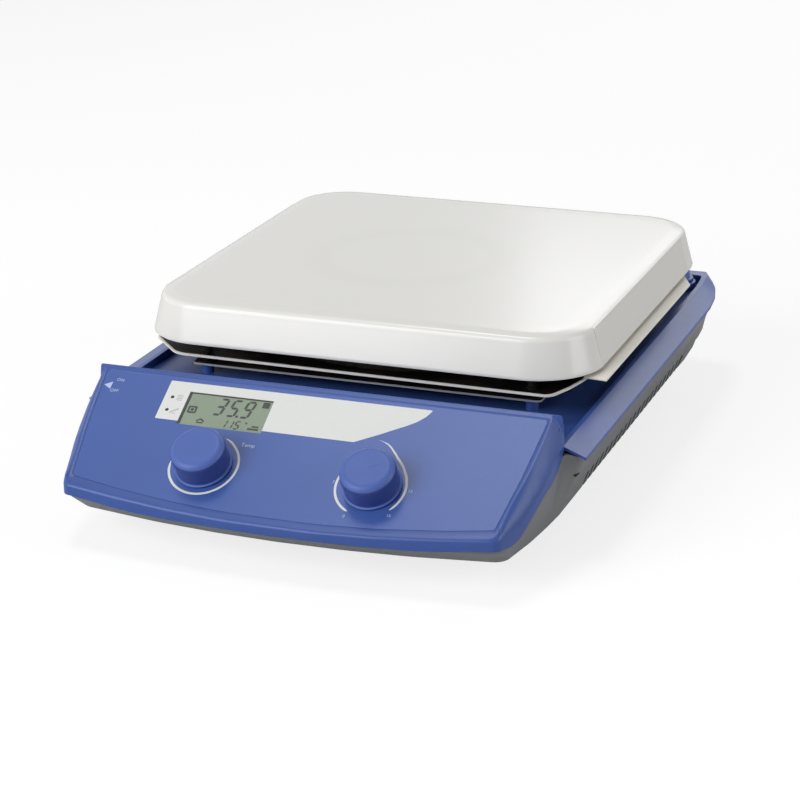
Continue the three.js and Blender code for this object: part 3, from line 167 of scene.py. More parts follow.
class Shader:
    """A new material, its surface node with its constants, and the nodes that feed it."""

    def __init__(self, name, constants):
        self.material = bpy.data.materials.new(name)
        self.material.use_nodes = True
        self.tree = self.material.node_tree
        self.surface = self.tree.nodes["Principled BSDF"]
        for socket, value in constants.items():
            self.surface.inputs[socket].default_value = value

    def node(self, kind, settings=None, inputs=None, output=0):
        made = self.tree.nodes.new(kind)
        for key, value in (settings or {}).items():
            setattr(made, key, value)
        for key, value in (inputs or {}).items():
            if isinstance(value, Wire):
                self.tree.links.new(value.socket, made.inputs[key])
            else:
                made.inputs[key].default_value = value
        return Wire(self, made.outputs[output])

    def maths(self, operation, first, second):
        return self.node("ShaderNodeMath", {"operation": operation}, {0: first, 1: second})

    def between(self, wire, low, high):
        """0 below low, 1 above high, smooth between them."""
        return self.node("ShaderNodeMapRange", {"interpolation_type": "SMOOTHSTEP"},
                         {"Value": wire, "From Min": low, "From Max": high})

    def place(self, stretch=(1, 1, 1), shift=(0, 0, 0)):
        """Object coordinates, stretched along each axis and then shifted."""
        spot = self.node("ShaderNodeTexCoord", output=3)
        return self.node("ShaderNodeMapping",
                         inputs={"Vector": spot, "Scale": stretch, "Location": shift})

    def noise(self, scale, detail, stretch=(1, 1, 1)):
        return self.node("ShaderNodeTexNoise",
                         inputs={"Vector": self.place(stretch), "Scale": scale, "Detail": detail})

    def grain(self, scale):
        """Small cells, as in the grain of a moulding tool."""
        return self.node("ShaderNodeTexVoronoi", {"feature": "SMOOTH_F1"},
                         {"Vector": self.place(), "Scale": scale})

    def mix(self, share, first, second):
        opaque = [x if isinstance(x, Wire) else (*x, 1.0) for x in (first, second)]
        return self.node("ShaderNodeMix", {"data_type": "RGBA"},
                         {0: share, 6: opaque[0], 7: opaque[1]}, output=2)

    def bump(self, height, strength, distance):
        return self.node("ShaderNodeBump",
                         inputs={"Height": height, "Strength": strength, "Distance": distance})

    def feed(self, socket, wire):
        self.tree.links.new(wire.socket, self.surface.inputs[socket])
        return self.material

    def dress(self, share, first, second, rough, bump=None):
        """The material with two colours mixed by share, its roughness and maybe a bump."""
        self.feed("Base Color", self.mix(share, first, second))
        if bump is not None:
            self.feed("Normal", bump)
        return self.feed("Roughness", rough)


def shade(colour, factor):
    return tuple(float(min(1.0, x * factor)) for x in colour)


def enamel_finish(name, colour):
    """Fired enamel: nearly white glaze, a fine speck and a faint darker ring that is a painted
    reflection.
    """
    s = Shader(name, {"IOR": 1.5, "Coat Weight": 0.2, "Coat Roughness": 0.15})
    away = s.node("ShaderNodeVectorMath", {"operation": "LENGTH"},
                  {0: s.place((1, 1, 0), (0.012, -0.045, 0))}, output=1)
    # painted reflection: a faint darker ring on the plate's top, where a reflection lies on the
    # glaze
    ring = s.between(away, 0.042, 0.052) * (1 - s.between(away, 0.056, 0.072))
    return s.dress(s.noise(800, 2) * 0.06 + ring * 0.35, colour, shade(colour, 0.955),
                   0.25 + s.noise(600, 1) * 0.006)


def moulded_finish(name, colour, rough):
    """Moulded plastic: fine tool grain, faint flow clouds and uneven gloss."""
    s = Shader(name, {"IOR": 1.47, "Specular IOR Level": 0.38})
    return s.dress(s.between(s.noise(22, 3), 0.3, 0.72), shade(colour, 0.95), shade(colour, 1.03),
                   rough + s.noise(300, 2) * 0.08,
                   s.bump(s.grain(2600) + s.noise(900, 2) * 0.6, 0.25, 0.00004))


def film_finish(name, colour):
    """Printed film: an even colour with a very fine matt texture."""
    s = Shader(name, {"IOR": 1.5})
    return s.dress(s.between(s.noise(30, 2), 0.3, 0.7), shade(colour, 0.98), shade(colour, 1.02),
                   0.33 + s.noise(700, 2) * 0.1, s.bump(s.noise(3200, 1), 0.15, 0.00003))


def metal_finish(name, colour, rough, stretch, scale=500):
    """Metal with fine lines or a fine tumble, by how the noise is stretched."""
    s = Shader(name, {"Metallic": 1.0})
    lines = s.noise(scale, 4, stretch)
    return s.dress(s.between(lines, 0.3, 0.75), shade(colour, 0.88), colour, rough + lines * 0.16,
                   s.bump(lines, 0.2, 0.00004))


def shade_sheet_finish(name, colour, brown):
    """Sheet under the plate, painted dark as the shade that falls there: uneven, with brown
    patches.
    """
    s = Shader(name, {"Metallic": 0.35, "Specular IOR Level": 0.3})
    return s.dress(s.between(s.noise(38, 4, (1, 1, 3)), 0.4, 0.66), colour, brown,
                   0.5 + s.noise(200, 3) * 0.2, s.bump(s.noise(600, 2, (1, 1, 4)), 0.15, 0.00005))


def painted_finish(name, colour):
    """Pale painted sheet with a fine leathery grain."""
    s = Shader(name, {"IOR": 1.45})
    speck = s.noise(900, 3)
    return s.dress(s.between(speck, 0.35, 0.65), shade(colour, 0.94), colour, 0.5 + speck * 0.12,
                   s.bump(speck, 0.4, 0.0001))


def ink_finish(name, colour, rough):
    """Screen print: flat ink, a touch uneven."""
    s = Shader(name, {})
    return s.dress(s.between(s.noise(500, 2), 0.3, 0.8), shade(colour, 0.985), colour,
                   rough + s.noise(900, 1) * 0.08)


def glass_finish(name, colour):
    """Clear window with a trace of a smear in its gloss."""
    s = Shader(name, {"Base Color": (*colour, 1.0), "IOR": 1.3, "Alpha": 0.03})
    return s.feed("Roughness", 0.1 + s.noise(120, 3) * 0.08)


def board_finish(name, lacquer, track):
    """Circuit board: green lacquer over paler tracks that run both ways."""
    s = Shader(name, {"IOR": 1.5})
    tracks = s.node("ShaderNodeTexBrick", {"offset": 0.35},
                    {"Vector": s.place(), "Scale": 90.0, "Mortar Size": 0.03,
                     "Color1": (0, 0, 0, 1), "Color2": (0.1, 0.1, 0.1, 1), "Mortar": (1, 1, 1, 1)})
    return s.dress(tracks, lacquer, track, 0.3 + s.noise(400, 2) * 0.15)


def fibre_finish(name, dark, pale):
    """Pressed mineral fibre, painted dark as the shade in the gap under the plate: matt, fluffy and
    speckled.
    """
    s = Shader(name, {"Specular IOR Level": 0.1})
    fluff = s.noise(260, 6)
    return s.dress(s.between(fluff, 0.35, 0.65), dark, pale, 0.85 + s.noise(80, 2) * 0.1,
                   s.bump(fluff, 0.8, 0.0006))


def rubber_finish(name, colour):
    """Foot rubber: matt, with a dusting of paler wear."""
    s = Shader(name, {"Specular IOR Level": 0.3})
    dust = s.noise(150, 5)
    return s.dress(s.between(dust, 0.5, 0.8), colour, shade(colour, 1.8), 0.7 + dust * 0.2,
                   s.bump(s.noise(1500, 3), 0.4, 0.0001))


def finishes():
    """Every finish of the object by its own name or that of its slot, made once."""
    if bpy.data.materials.get("enamel_white") is None:
        c = bpy.context.scene.stirrer_colours
        for slot_name, material in {
            "glazed_white": enamel_finish("enamel_white", tuple(c.enamel)),
            "cheek_white": enamel_finish("enamel_cheek", shade(c.enamel, 0.92)),
            "housing_blue": moulded_finish("moulded_blue", tuple(c.cover), 0.3),
            "knob_blue": moulded_finish("moulded_knob", srgb(76, 101, 172), 0.4),
            # painted shade: a darker copy of the knob blue for the knobs' shaded sides
            "knob_side": moulded_finish("moulded_knob_side", srgb(46, 66, 134), 0.4),
            "base_grey": moulded_finish("moulded_grey", tuple(c.base), 0.42),
            "foil_blue": film_finish("film_blue", tuple(c.foil)),
            "black_plastic": moulded_finish("moulded_black", srgb(24, 25, 27), 0.4),
            "foot_rubber": rubber_finish("rubber_black", srgb(28, 28, 29)),
            "bright_steel": metal_finish("steel_bright", srgb(205, 205, 203), 0.2, (1, 1, 6)),
            "sheet_steel": metal_finish("steel_sheet", srgb(206, 200, 190), 0.34, (8, 1, 1), 120),
            "aluminium": metal_finish("aluminium_cast", srgb(190, 191, 192), 0.42, (1, 1, 1), 260),
            "brass": metal_finish("brass_turned", srgb(200, 164, 96), 0.25, (1, 1, 5), 420),
            # painted shade: the fibre is coloured dark for the shade in the gap under the plate
            "mineral_fibre": fibre_finish("fibre_pressed", srgb(34, 31, 27), srgb(52, 47, 40)),
            "magnet_grey": metal_finish("magnet_sintered", srgb(84, 84, 88), 0.5, (1, 1, 1), 700),
            "clear_window": glass_finish("window_clear", (0.9, 0.93, 0.9)),
            "display_green": film_finish("screen_green", tuple(c.screen)),
            "indicator": film_finish("lamp_lens", srgb(150, 155, 160)),
            "board_green": board_finish("board_lacquer", srgb(22, 84, 52), srgb(46, 122, 78)),
        }.items():
            material["slot"] = slot_name
        for name, colour, rough in (("ink_white", tuple(c.printing), 0.45),
                                    ("ink_pale", srgb(186, 198, 228), 0.45),
                                    ("ink_grey", srgb(172, 174, 176), 0.45),
                                    ("segment_black", srgb(18, 24, 20), 0.6),
                                    # black for the lamps, and painted shadow at the screen's edges
                                    ("frame_black", srgb(26, 28, 30), 0.5)):
            ink_finish(name, colour, rough)["slot"] = name
        # painted shade: the sheets and posts under the plate are coloured dark for the shade there
        shade_sheet_finish("sheet_burnt", srgb(30, 28, 26), srgb(62, 54, 46))["slot"] = "sheet_burnt"
        painted_finish("sheet_painted", srgb(236, 233, 223))["slot"] = "sheet_painted"
    return {made["slot"]: made for made in bpy.data.materials if "slot" in made}


# ---------------------------------------------------------------- surfaces


def unit(v):
    return v / np.linalg.norm(v, axis=-1, keepdims=True)


def arc_at(before, corner, after, steps):
    """The arc that rounds one corner (x, y, r): centre = p + bisector * r / sin(half the angle)."""
    p, r = corner[:2], corner[2]
    a, b = unit(before[:2] - p), unit(after[:2] - p)
    half = np.arccos(np.clip(a @ b, -1, 1)) / 2
    centre = p + unit(a + b) * r / np.sin(half)
    start = p + a * r / np.tan(half) - centre
    end = p + b * r / np.tan(half) - centre
    first = np.arctan2(start[1], start[0])
    turn = (np.arctan2(end[1], end[0]) - first + np.pi) % (2 * np.pi) - np.pi
    angle = first + turn * np.linspace(0, 1, steps + 1)
    return centre + r * np.stack([np.cos(angle), np.sin(angle)], -1)


def outline(corners, steps):
    """Closed outline from rounded corners (x, y, r), with one point in the middle of each side."""
    c = np.array(corners, float)
    arcs = [arc_at(c[i - 1], c[i], c[(i + 1) % len(c)], steps) for i in range(len(c))]
    rows = []
    for arc, after in zip(arcs, arcs[1:] + arcs[:1]):
        rows += [arc, arc[-1:] + (after[:1] - arc[-1:]) * 0.5]
    return np.concatenate(rows)


def track(corners, steps=6, between=(0.25, 0.5, 0.75)):
    """Open outline: the two ends stay, every corner (x, y, r) between them is rounded."""
    c = np.array(corners, float)
    arcs = [c[:1, :2]] + [arc_at(c[i - 1], c[i], c[i + 1], steps) for i in range(1, len(c) - 1)]
    arcs.append(c[-1:, :2])
    share = np.array(between)[:, None]
    rows = [arcs[0]]
    for arc, after in zip(arcs, arcs[1:]):
        rows += [arc[-1] + (after[0] - arc[-1]) * share, after]
    return np.concatenate(rows)


def both_sides(right):
    """A track and its mirror image, joined where the track ends."""
    return np.concatenate([right, right[::-1] * (-1, 1)])


def mirrored(right):
    """Corners of a shape that is the same left and right, from its right half, front to back."""
    r = np.array(right, float)
    return np.concatenate([r, r[::-1] * (-1, 1, 1)])


def rectangle(centre, half, radius, steps):
    (x, y), (a, b) = centre, half
    return outline([(x + a, y - b, radius), (x + a, y + b, radius), (x - a, y + b, radius),
                    (x - a, y - b, radius)], steps)


def circle(centre, radius, count):
    angle = np.linspace(0, 2 * np.pi, count, endpoint=False)
    return np.asarray(centre, float) + radius * np.stack([np.cos(angle), np.sin(angle)], -1)


def inset(points, depth):
    """Outline moved inward by depth along the mean of its neighbours' normals."""
    edge = np.roll(points, -1, 0) - points
    edge = np.where(np.abs(edge).sum(-1, keepdims=True) < 1e-9, np.roll(edge, -1, 0), edge)
    out = unit(np.stack([edge[:, 1], -edge[:, 0]], -1))
    mean = unit(out + np.roll(out, 1, 0))
    reach = 1 / np.clip(np.sum(mean * out, -1), 0.6, 1)
    return points - mean * (np.asarray(depth) * reach)[:, None]


def at(points, height):
    """Plan outline with heights, one or one for each point."""
    return np.column_stack([points, np.broadcast_to(height, len(points))])


class Body:
    """Grids, flats and turned shapes in millimetres, gathered and welded into one closed mesh."""

    def __init__(self, place=None):
        self.points, self.faces, self.marks, self.count = [], [], [], 0
        self.place = place or (lambda p: p)

    def add(self, points, faces, mark=0):
        self.points.append(self.place(np.asarray(points, float)))
        self.faces += [tuple(i + self.count for i in f) for f in faces]
        self.marks += [int(m) for m in np.broadcast_to(mark, len(faces))]
        self.count += len(points)
        return self

    def loft(self, rings, mark=0, start=True, end=True):
        """Rings of equal count joined row by row: quad (a, b, b + n, a + n), with flat ends."""
        rings = np.asarray(rings, float)
        rows, n = rings.shape[:2]
        i = (np.arange(rows - 1) * n)[:, None]
        j = np.arange(n)[None]
        k = (j + 1) % n
        faces = np.stack([i + j, i + k, i + n + k, i + n + j], -1).reshape(-1, 4).tolist()
        marks = np.broadcast_to(np.asarray(mark), (rows - 1, n)).reshape(-1).tolist()
        ends = [list(range(n))[::-1]] * start + [list(range((rows - 1) * n, rows * n))] * end
        return self.add(rings.reshape(-1, 3), faces + ends, marks + [0] * len(ends))

    def tube(self, rings, mark=0):
        """Rings joined as in a loft, open at both ends."""
        return self.loft(rings, mark, False, False)

    def flat(self, loops):
        """One flat face with holes, cut into triangles."""
        loops = [np.asarray(loop, float) for loop in loops]
        faces = tessellate_polygon([[Vector(p) for p in loop] for loop in loops])
        return self.add(np.concatenate(loops), faces)

    def slab(self, loops, low, high):
        """A flat plate between two heights, with holes."""
        for loop in loops:
            self.tube([at(loop, low), at(loop, high)])
        for height in (low, high):
            self.flat([at(loop, height) for loop in loops])
        return self

    def turned(self, profile, centre, count, mark=0):
        """Profile (radius, height) turned round the upright through centre."""
        profile = np.asarray(profile, float)
        ring = circle((0, 0), 1, count)
        rings = [at(np.asarray(centre) + ring * max(r, 0), z) for r, z in profile]
        return self.loft(rings, mark, bool(profile[0, 0] > 0), bool(profile[-1, 0] > 0))

    def finish(self, name, finish_names, slot_name=None, body="housing", nodes=(), angle=33):
        """Makes the piece with its finishes in order; slot_name is not used."""
        mesh = bpy.data.meshes.new(name)
        mesh.from_pydata(np.concatenate(self.points) * MM, [], self.faces)
        mesh.polygons.foreach_set("material_index", self.marks)
        welded = bmesh.new()
        welded.from_mesh(mesh)
        bmesh.ops.remove_doubles(welded, verts=welded.verts, dist=2e-6)
        bmesh.ops.recalc_face_normals(welded, faces=welded.faces)
        welded.to_mesh(mesh)
        welded.free()
        mesh.polygons.foreach_set("use_smooth", np.ones(len(mesh.polygons), bool))
        mesh.set_sharp_from_angle(angle=math.radians(angle))
        made = finishes()
        for finish_name in finish_names:
            mesh.materials.append(made[finish_name])
        piece = bpy.data.objects.new(name, mesh)
        bpy.context.scene.collection.objects.link(piece)
        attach(piece, body)
        if nodes:
            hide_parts(*nodes)
        return piece


def words(text, size, centre):
    """Flat letters of a built-in font as points and faces about a centre."""
    curve = bpy.data.curves.new("letters", "FONT")
    curve.body, curve.size = text, size
    curve.align_x, curve.align_y = "CENTER", "CENTER"
    curve.resolution_u = 3
    source = bpy.data.objects.new("letters", curve)
    bpy.context.scene.collection.objects.link(source)
    flat = bpy.data.meshes.new_from_object(
        source.evaluated_get(bpy.context.evaluated_depsgraph_get()))
    points = np.array([v.co[:2] for v in flat.vertices])
    faces = [tuple(p.vertices) for p in flat.polygons]
    bpy.data.objects.remove(source)
    bpy.data.curves.remove(curve)
    bpy.data.meshes.remove(flat)
    return points + np.asarray(centre, float), faces


def corners_of(node):
    """A solid's lowest and highest corner in millimetres."""
    low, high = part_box(node)
    return np.array(low) / MM, np.array(high) / MM


def quarter(radius, steps):
    """(inset, drop) along a quarter round, from the flat to the wall."""
    angle = np.linspace(0, np.pi / 2, steps + 1)
    return np.stack([radius * (1 - np.sin(angle)), radius * (1 - np.cos(angle))], -1)


def smooth(value, low, high):
    t = np.clip((value - low) / (high - low), 0, 1)
    return t * t * (3 - 2 * t)


# the control panel: its ridge, slope and the places of what it carries
RIDGE = np.array([0.0, -124.6, 79.5])
SLOPE = math.atan2(50, 82.9)
KNOB_U, KNOB_V, POINTER = 48.9, -62.0, math.radians(28)
SOCKET = (119.5, 186.0)
WINDOW_CENTRE, WINDOW_HALF = (-50.0, -25.1), (25.3, 11.4)
# heights out of the panel: its inner face, the sunk field, the film on it and the ink on the film
PANEL_UNDER, RECESS_FLOOR, FILM_TOP, INK_TOP = -3.9, -0.9, -0.35, -0.3
INK_SINK = 0.1
SHAFT_HOLE, FILM_HOLE = 5.2, 7.2

# the line on the side where the cover stops and the base starts: distances and heights
SEAM_Y = np.array([-199.0, -192.0, -186.0, -181.0, -177.0, -166.8, -155.0, -145.0, -137.0,
                   -131.0, -127.5, -124.5])
SEAM_Z = np.array([28.3, 27.7, 27.3, 28.4, 30.3, 37.0, 43.6, 47.0, 49.8, 54.0, 57.6, 60.5])
SEAM_FRONT_X = np.array([0.0, 60.0, 80.0, 95.0, 112.0, 125.0])
SEAM_FRONT_Z = np.array([24.4, 24.7, 25.1, 26.1, 27.9, 28.3])
RAIL_FRONT, COVER_EDGE = -125.0, 54.9
RAIL_CROWN, RAIL_FRONT_LEFT = 61.4, -109.0
BACK_LEAN, ROOF_TOP = 7.1, 73.0
TRAY_LOW, TRAY_TOP, TRAY_FRONT = 54.7, 56.6, -118.5


def seam_height(x, y):
    """Height of the line where the cover stops, along the front and up the sides."""
    side = np.interp(y, SEAM_Y, SEAM_Z)
    return np.where(np.abs(x) < 118, np.interp(np.abs(x), SEAM_FRONT_X, SEAM_FRONT_Z), side)


def on_panel(p):
    """Panel coordinates (across, up the slope, out of it) to the frame."""
    u, v, w = np.moveaxis(np.asarray(p, float), -1, 0)
    return np.stack([u, RIDGE[1] + v * math.cos(SLOPE) - w * math.sin(SLOPE),
                     RIDGE[2] + v * math.sin(SLOPE) + w * math.cos(SLOPE)], -1)


def panel_height(y, w=0.0):
    return RIDGE[2] + (y - RIDGE[1]) * math.tan(SLOPE) + w / math.cos(SLOPE)


def recess_outline():
    """Outline of the sunk field that takes the film, in panel coordinates."""
    front = [(x, -91.3 + 11.6 * (x / 121.4) ** 2, 300) for x in (25.0, 60.0, 95.0)]
    return outline(mirrored([*front, (121.4, -79.7, 2.5), (126.8, -42, 400), (130.3, -5, 2.0)]), 6)


def panel_holes(grow, radius):
    """The window, larger by grow, and the holes of that radius for both knobs' shafts."""
    window = rectangle(WINDOW_CENTRE, np.array(WINDOW_HALF) + grow, 0.8, 4)
    return [window] + [circle((side * KNOB_U, KNOB_V), radius, 32) for side in (-1, 1)]


# ---------------------------------------------------------------- hot plate and shields

PLATE_HALF, PLATE_Y, PLATE_CORNER = 137.0, 52.0, 38.5
SKIRT_DRAW, PLATE_WALL = 4.8, 4.0
BUSH_RADIUS, TRAY_BUSH = 11.6, 11.4


def plate_ring(half, height):
    """Rounded square about the plate's centre; its corner radius shrinks with its size."""
    r = max(PLATE_CORNER - (PLATE_HALF - half), 1.0)
    return at(rectangle((0, PLATE_Y), (half, half), r, 16), height)


class STIRRER_OT_hot_plate(bpy.types.Operator):
    """Builds the enamelled plate with its skirt, soft shoulder and side cheeks"""

    bl_idname = "stirrer.hot_plate"
    bl_label = "Hot plate"

    def execute(self, context):
        low, high = corners_of("heating_plate")
        top, bottom = high[2], low[2]
        shoulder = PLATE_HALF - SKIRT_DRAW
        # inset from the shoulder and drop from the top: a curve, a narrow band, a second curve
        crown = [(0, 5.0), (0.25, 3.8), (0.7, 2.75), (1.4, 1.9), (2.3, 1.3), (3.2, 1.0),
                 (6.6, 0.35), (7.4, 0.2), (8.4, 0.06), (9.6, 0), (20, 0)]
        pairs = [(shoulder - PLATE_WALL, top - 5.4), (PLATE_HALF - PLATE_WALL, bottom + 0.4),
                 (PLATE_HALF - 3.7, bottom), (PLATE_HALF - 0.5, bottom),
                 (PLATE_HALF - 0.1, bottom + 0.2), (PLATE_HALF, bottom + 0.6),
                 (PLATE_HALF - 0.35, bottom + 2.0), (shoulder + 0.25, top - 6.0)]
        pairs += [(shoulder - s, top - d) for s, d in crown]
        Body().loft([plate_ring(*p) for p in pairs]).finish(
            "plate_enamel", ["glazed_white"], nodes=["heating_plate"])
        lean = SKIRT_DRAW / (top - 5 - bottom)
        for side, word in ((-1, "left"), (1, "right")):
            node = "side_cheek_" + word
            lo, hi = corners_of(node)
            rise = np.array([0.5, 0.9, 21.9, 22.3, 22.3, 0.5])
            out = np.array([0.1, 0.28, 0.28, 0.05, -1.0, -1.0])
            x = side * (PLATE_HALF + out - rise * lean)
            rows = []
            ends = ((lo[1] - 3.2, 0.22), (lo[1] - 2.8, 0), (hi[1] - 7.2, 0), (hi[1] - 6.8, 0.22))
            for y, sink in ends:
                rows.append(np.column_stack([x - side * sink, np.full(6, y), bottom + rise]))
            Body().loft(rows).finish("cheek_" + word, ["cheek_white"],
                                     nodes=[node], angle=20)
        return {"FINISHED"}


class STIRRER_OT_heat_shields(bpy.types.Operator):
    """Builds the pan under the plate with its side flange, the lower shield and the posts"""

    bl_idname = "stirrer.heat_shields"
    bl_label = "Heat shields"

    def execute(self, context):
        floor = corners_of("heat_shield_pan")[0][2]
        bush = circle((0, PLATE_Y), BUSH_RADIUS, 40)
        sheet, rim = 1.2, 72.2
        plan = outline([(115.5, -80.4, 9), (131.1, -60, 7), (131.1, 183, 35), (-131.1, 183, 35),
                        (-131.6, 0, 60), (-137.6, -52, 8), (-113, -77.4, 16)], 12)
        # the rim climbs to the flange at the right end: lift = 5.6 * t ** 2, t from 0 to 1 along x
        lift = 5.6 * np.clip((plan[:, 0] - 113.5) / 17.5, 0, 1) ** 2
        # inset, share of the lift and height, up the outside and down the inside
        levels = [(11, 0, floor), (9.5, 0.1, floor + 0.6), (8, 0.3, floor + 1.4),
                  (0.35, 1, rim - 1.5), (0, 1, rim - 1.2), (0, 1, rim - 0.15), (0.25, 1, rim),
                  (sheet, 1, rim), (sheet + 0.2, 1, rim - 0.4), (9, 0.4, floor + 2.4),
                  (11.8, 0, floor + sheet)]
        rings = [at(inset(plan, depth), z + lift * share) for depth, share, z in levels]
        # the rim rows keep the pale paint; the other rows are painted dark as the shade under the
        # plate
        marks = np.zeros((len(levels) - 1, len(plan)), int)
        marks[3:7] = 1
        pan = Body().tube(rings, marks)
        pan.tube([at(bush, floor), at(bush, floor + sheet)])
        pan.flat([rings[0], at(bush, floor)]).flat([rings[-1], at(bush, floor + sheet)])
        pan.finish("shield_pan", ["sheet_burnt", "sheet_painted"], "sheet_steel",
                   nodes=["heat_shield_pan"])

        flange = np.array([(129.8, -62.6), (134.0, -62.6), (143.3, -63.6), (143.3, 123.7),
                           (136.4, 138.6), (131.6, 148.4), (129.8, 148.4)])
        Body().loft([at(inset(flange, 0.2), 77.8), at(flange, 78.0), at(flange, 78.75),
                     at(inset(flange, 0.25), 79.0)]).finish(
            "shield_flange", ["sheet_painted"], "sheet_steel", angle=25)

        lo, hi = corners_of("lower_heat_shield")
        low, high = lo[2] - 0.3, hi[2]
        plan = rectangle(((lo + hi) / 2)[:2], ((hi - lo) / 2)[:2], 3, 6)
        layers = [at(inset(plan, 0.15), low), at(plan, low + 0.15), at(plan, high - 0.1),
                  at(inset(plan, 0.1), high)]
        # its edges are light grey; its faces are painted dark as the shade under the plate
        lower = Body().tube(layers, np.ones((3, len(plan)), int))
        lower.flat([layers[0], at(bush, low)]).flat([layers[-1], at(bush, high)])
        lower.tube([at(bush, low), at(bush, high)])
        lower.finish("shield_lower", ["sheet_burnt", "ink_grey"], "sheet_steel",
                     nodes=["lower_heat_shield"])
        # the first row of each post is the blue boss that it stands on; the rest is painted dark so
        # that the posts sink into the shade under the plate
        profile = [(3.6, 56.4), (3.6, 62.6), (5.4, 62.7), (5.4, 64.6), (3.4, 64.8), (3.4, 70),
                   (2.6, 70.4), (2.6, 99.4), (2.3, 99.7)]
        boss = (np.arange(len(profile) - 1) == 0).astype(int)[:, None]
        posts = Body()
        for x in (-100, 100):
            for y in (-62, 166):
                posts.turned(profile, (x, y), 32, boss)
        ends = [f"{a}_{b}" for a in ("front", "back") for b in ("left", "right")]
        posts.finish("plate_posts", ["sheet_burnt", "housing_blue"], "bright_steel",
                     nodes=["plate_post_" + end for end in ends])
        return {"FINISHED"}


# ---------------------------------------------------------------- housing


def hood_outline(crest=0.0, flank=0.0, back=0.0):
    """Plan of the panel block: bowed front, sides that swell, straight back on the ridge.

    The top face is the same outline drawn in by three amounts: front, sides and back.
    """
    front = [(x, -207.5 + crest + 9.1 * (x / 124.0) ** 2, 260) for x in (25.0, 60.0, 95.0)]
    side = [(127.9 - 0.65 * flank, -189, 70), (131.2 - 0.88 * flank, -178, 90),
            (134.0 - 0.95 * flank, -167, 90), (135.9 - flank, -157, 90),
            (137.4 - flank, -145, 90), (137.95 - flank, -134, 120)]
    return mirrored([*front, (124.7 - 0.1 * flank, -198.6 + crest, 6.5), *side,
                     (138.0 - flank, RIDGE[1] - back, 1.6)])


# half of the cover's outlines, from the front of the right rail to the middle of the back
COVER_TRACKS = (
    [(150, RAIL_FRONT, 0), (150, 152, 60), (147.8, 174, 60), (143.7, 192, 40), (137.8, 207.5, 4.5),
     (60, 207.5, 0)],
    [(137.2, RAIL_FRONT, 0), (137.25, 150, 40), (137.15, 178, 40), (136.9, 197, 14),
     (134.2, 205.6, 2.2), (60, 205.6, 0)],
    [(134.5, RAIL_FRONT, 0), (134.6, 150, 40), (134.5, 176, 40), (134.2, 190, 12),
     (133.0, 196.5, 2.5), (60, 196.5, 0)])


def cover_outlines():
    """Open outlines of the rails' outer edge, their crown and the tray, both sides of each."""
    return [both_sides(track(corners)) for corners in COVER_TRACKS]


def panel_block(crest, flank):
    """The panel block with its sunk field: crest is its front rounding, flank its side rounding."""
    plan = outline(hood_outline(), 7)
    x, y = plan.T
    edge = np.roll(plan, -1, 0) - np.roll(plan, 1, 0)
    across = smooth(np.abs(edge[:, 1]) / np.linalg.norm(edge, axis=-1), 0.1, 0.95)
    plain = np.where(y > RIDGE[1] - 6, 1.6, crest)
    tall = plain + across * (np.interp(y, [-201, -190, -178, -150, -125],
                                       [1.5, 5.0, 10.0, 13.0, 15.0]) - plain)
    recess = recess_outline()
    run = np.roll(recess, -1, 0) - np.roll(recess, 1, 0)
    front = smooth(run[:, 0] / np.linalg.norm(run, axis=-1), 0.6, 0.95)
    holes = panel_holes(0.3, SHAFT_HOLE)
    floor = on_panel(at(inset(recess, 0.15), RECESS_FLOOR))
    rim = on_panel(at(inset(recess, -1.0 - 1.9 * front), 0.0))
    hood = Body().tube([floor, on_panel(at(recess, -0.5)), rim])

    top = outline(hood_outline(crest, flank, 1.6), 7)
    support = inset(top, np.full(len(top), 0.3))
    rows = [at(support, panel_height(support[:, 1]))]
    # the sides start as a slope and end as a round, the front is round throughout
    slope = 0.5 * across * smooth(y, -200, -150)
    for s, d in quarter(1, 10):
        ring = plan + (top - plan) * s
        rows.append(at(ring, panel_height(ring[:, 1]) - tall * (d + slope * (1 - s - d))))
    hood.flat([rows[0], rim])
    # the back wall leans to the tray, the front and the sides stop at the seam
    back = (y > RIDGE[1] - 1.7) & (np.abs(x) < 136.5)
    foot = np.where(back, TRAY_TOP, seam_height(x, y))
    down = plan + np.column_stack([0 * y, np.where(back, BACK_LEAN, 0.0)])
    rows += [at(down, foot + 0.5), at(inset(down, 0.15), foot + 0.15),
             at(inset(down, 0.5), foot), at(inset(down, 2.6), foot)]
    under = inset(plan, 3.2)
    roof = np.minimum(panel_height(under[:, 1], -5.0), ROOF_TOP) - tall * across
    rows.append(at(under, np.maximum(foot + 1, roof)))
    hood.tube(rows)
    low = on_panel(at(inset(recess, 1.2), PANEL_UNDER))
    hood.flat([low] + [on_panel(at(h, PANEL_UNDER)) for h in holes])
    hood.flat([floor] + [on_panel(at(h, RECESS_FLOOR)) for h in holes])
    for h in holes:
        hood.tube([on_panel(at(h, RECESS_FLOOR)), on_panel(at(h, PANEL_UNDER))])
    return hood.flat([rows[-1], low])


def rails():
    """Rails and rear rim: edge + (crown - edge) * a + (tray - crown) * b, and a height for each."""
    edge, crown, tray = cover_outlines()
    crown_z = RAIL_CROWN + 1.2 * smooth(crown[:, 1], 176, 200)
    # shares a and b with a height, which counts from the crown where it is near nought
    section = [(0, 0, COVER_EDGE), (0, 0, 55.9), (0.02, 0, 56.35), (0.06, 0, 56.6), (0.97, 0, -0.2),
               (0.99, 0, -0.06), (1, 0.1, 0), (1, 0.9, 0), (1, 0.97, -0.08), (1, 1, -0.35),
               (1, 1, 55.3), (1, 0.5, 55.3), (1, 0.5, -1.6), (0.1, 0, 55.7), (0.1, 0, COVER_EDGE)]
    columns = []
    for a, b, z in section:
        spot = edge + (crown - edge) * a + (tray - crown) * b
        spot[:, 1] = np.where(spot[:, 0] < 0, np.maximum(spot[:, 1], RAIL_FRONT_LEFT), spot[:, 1])
        columns.append(at(spot, z if z > 40 else crown_z + z))
    return Body().loft(np.moveaxis(np.array(columns), 0, 1))


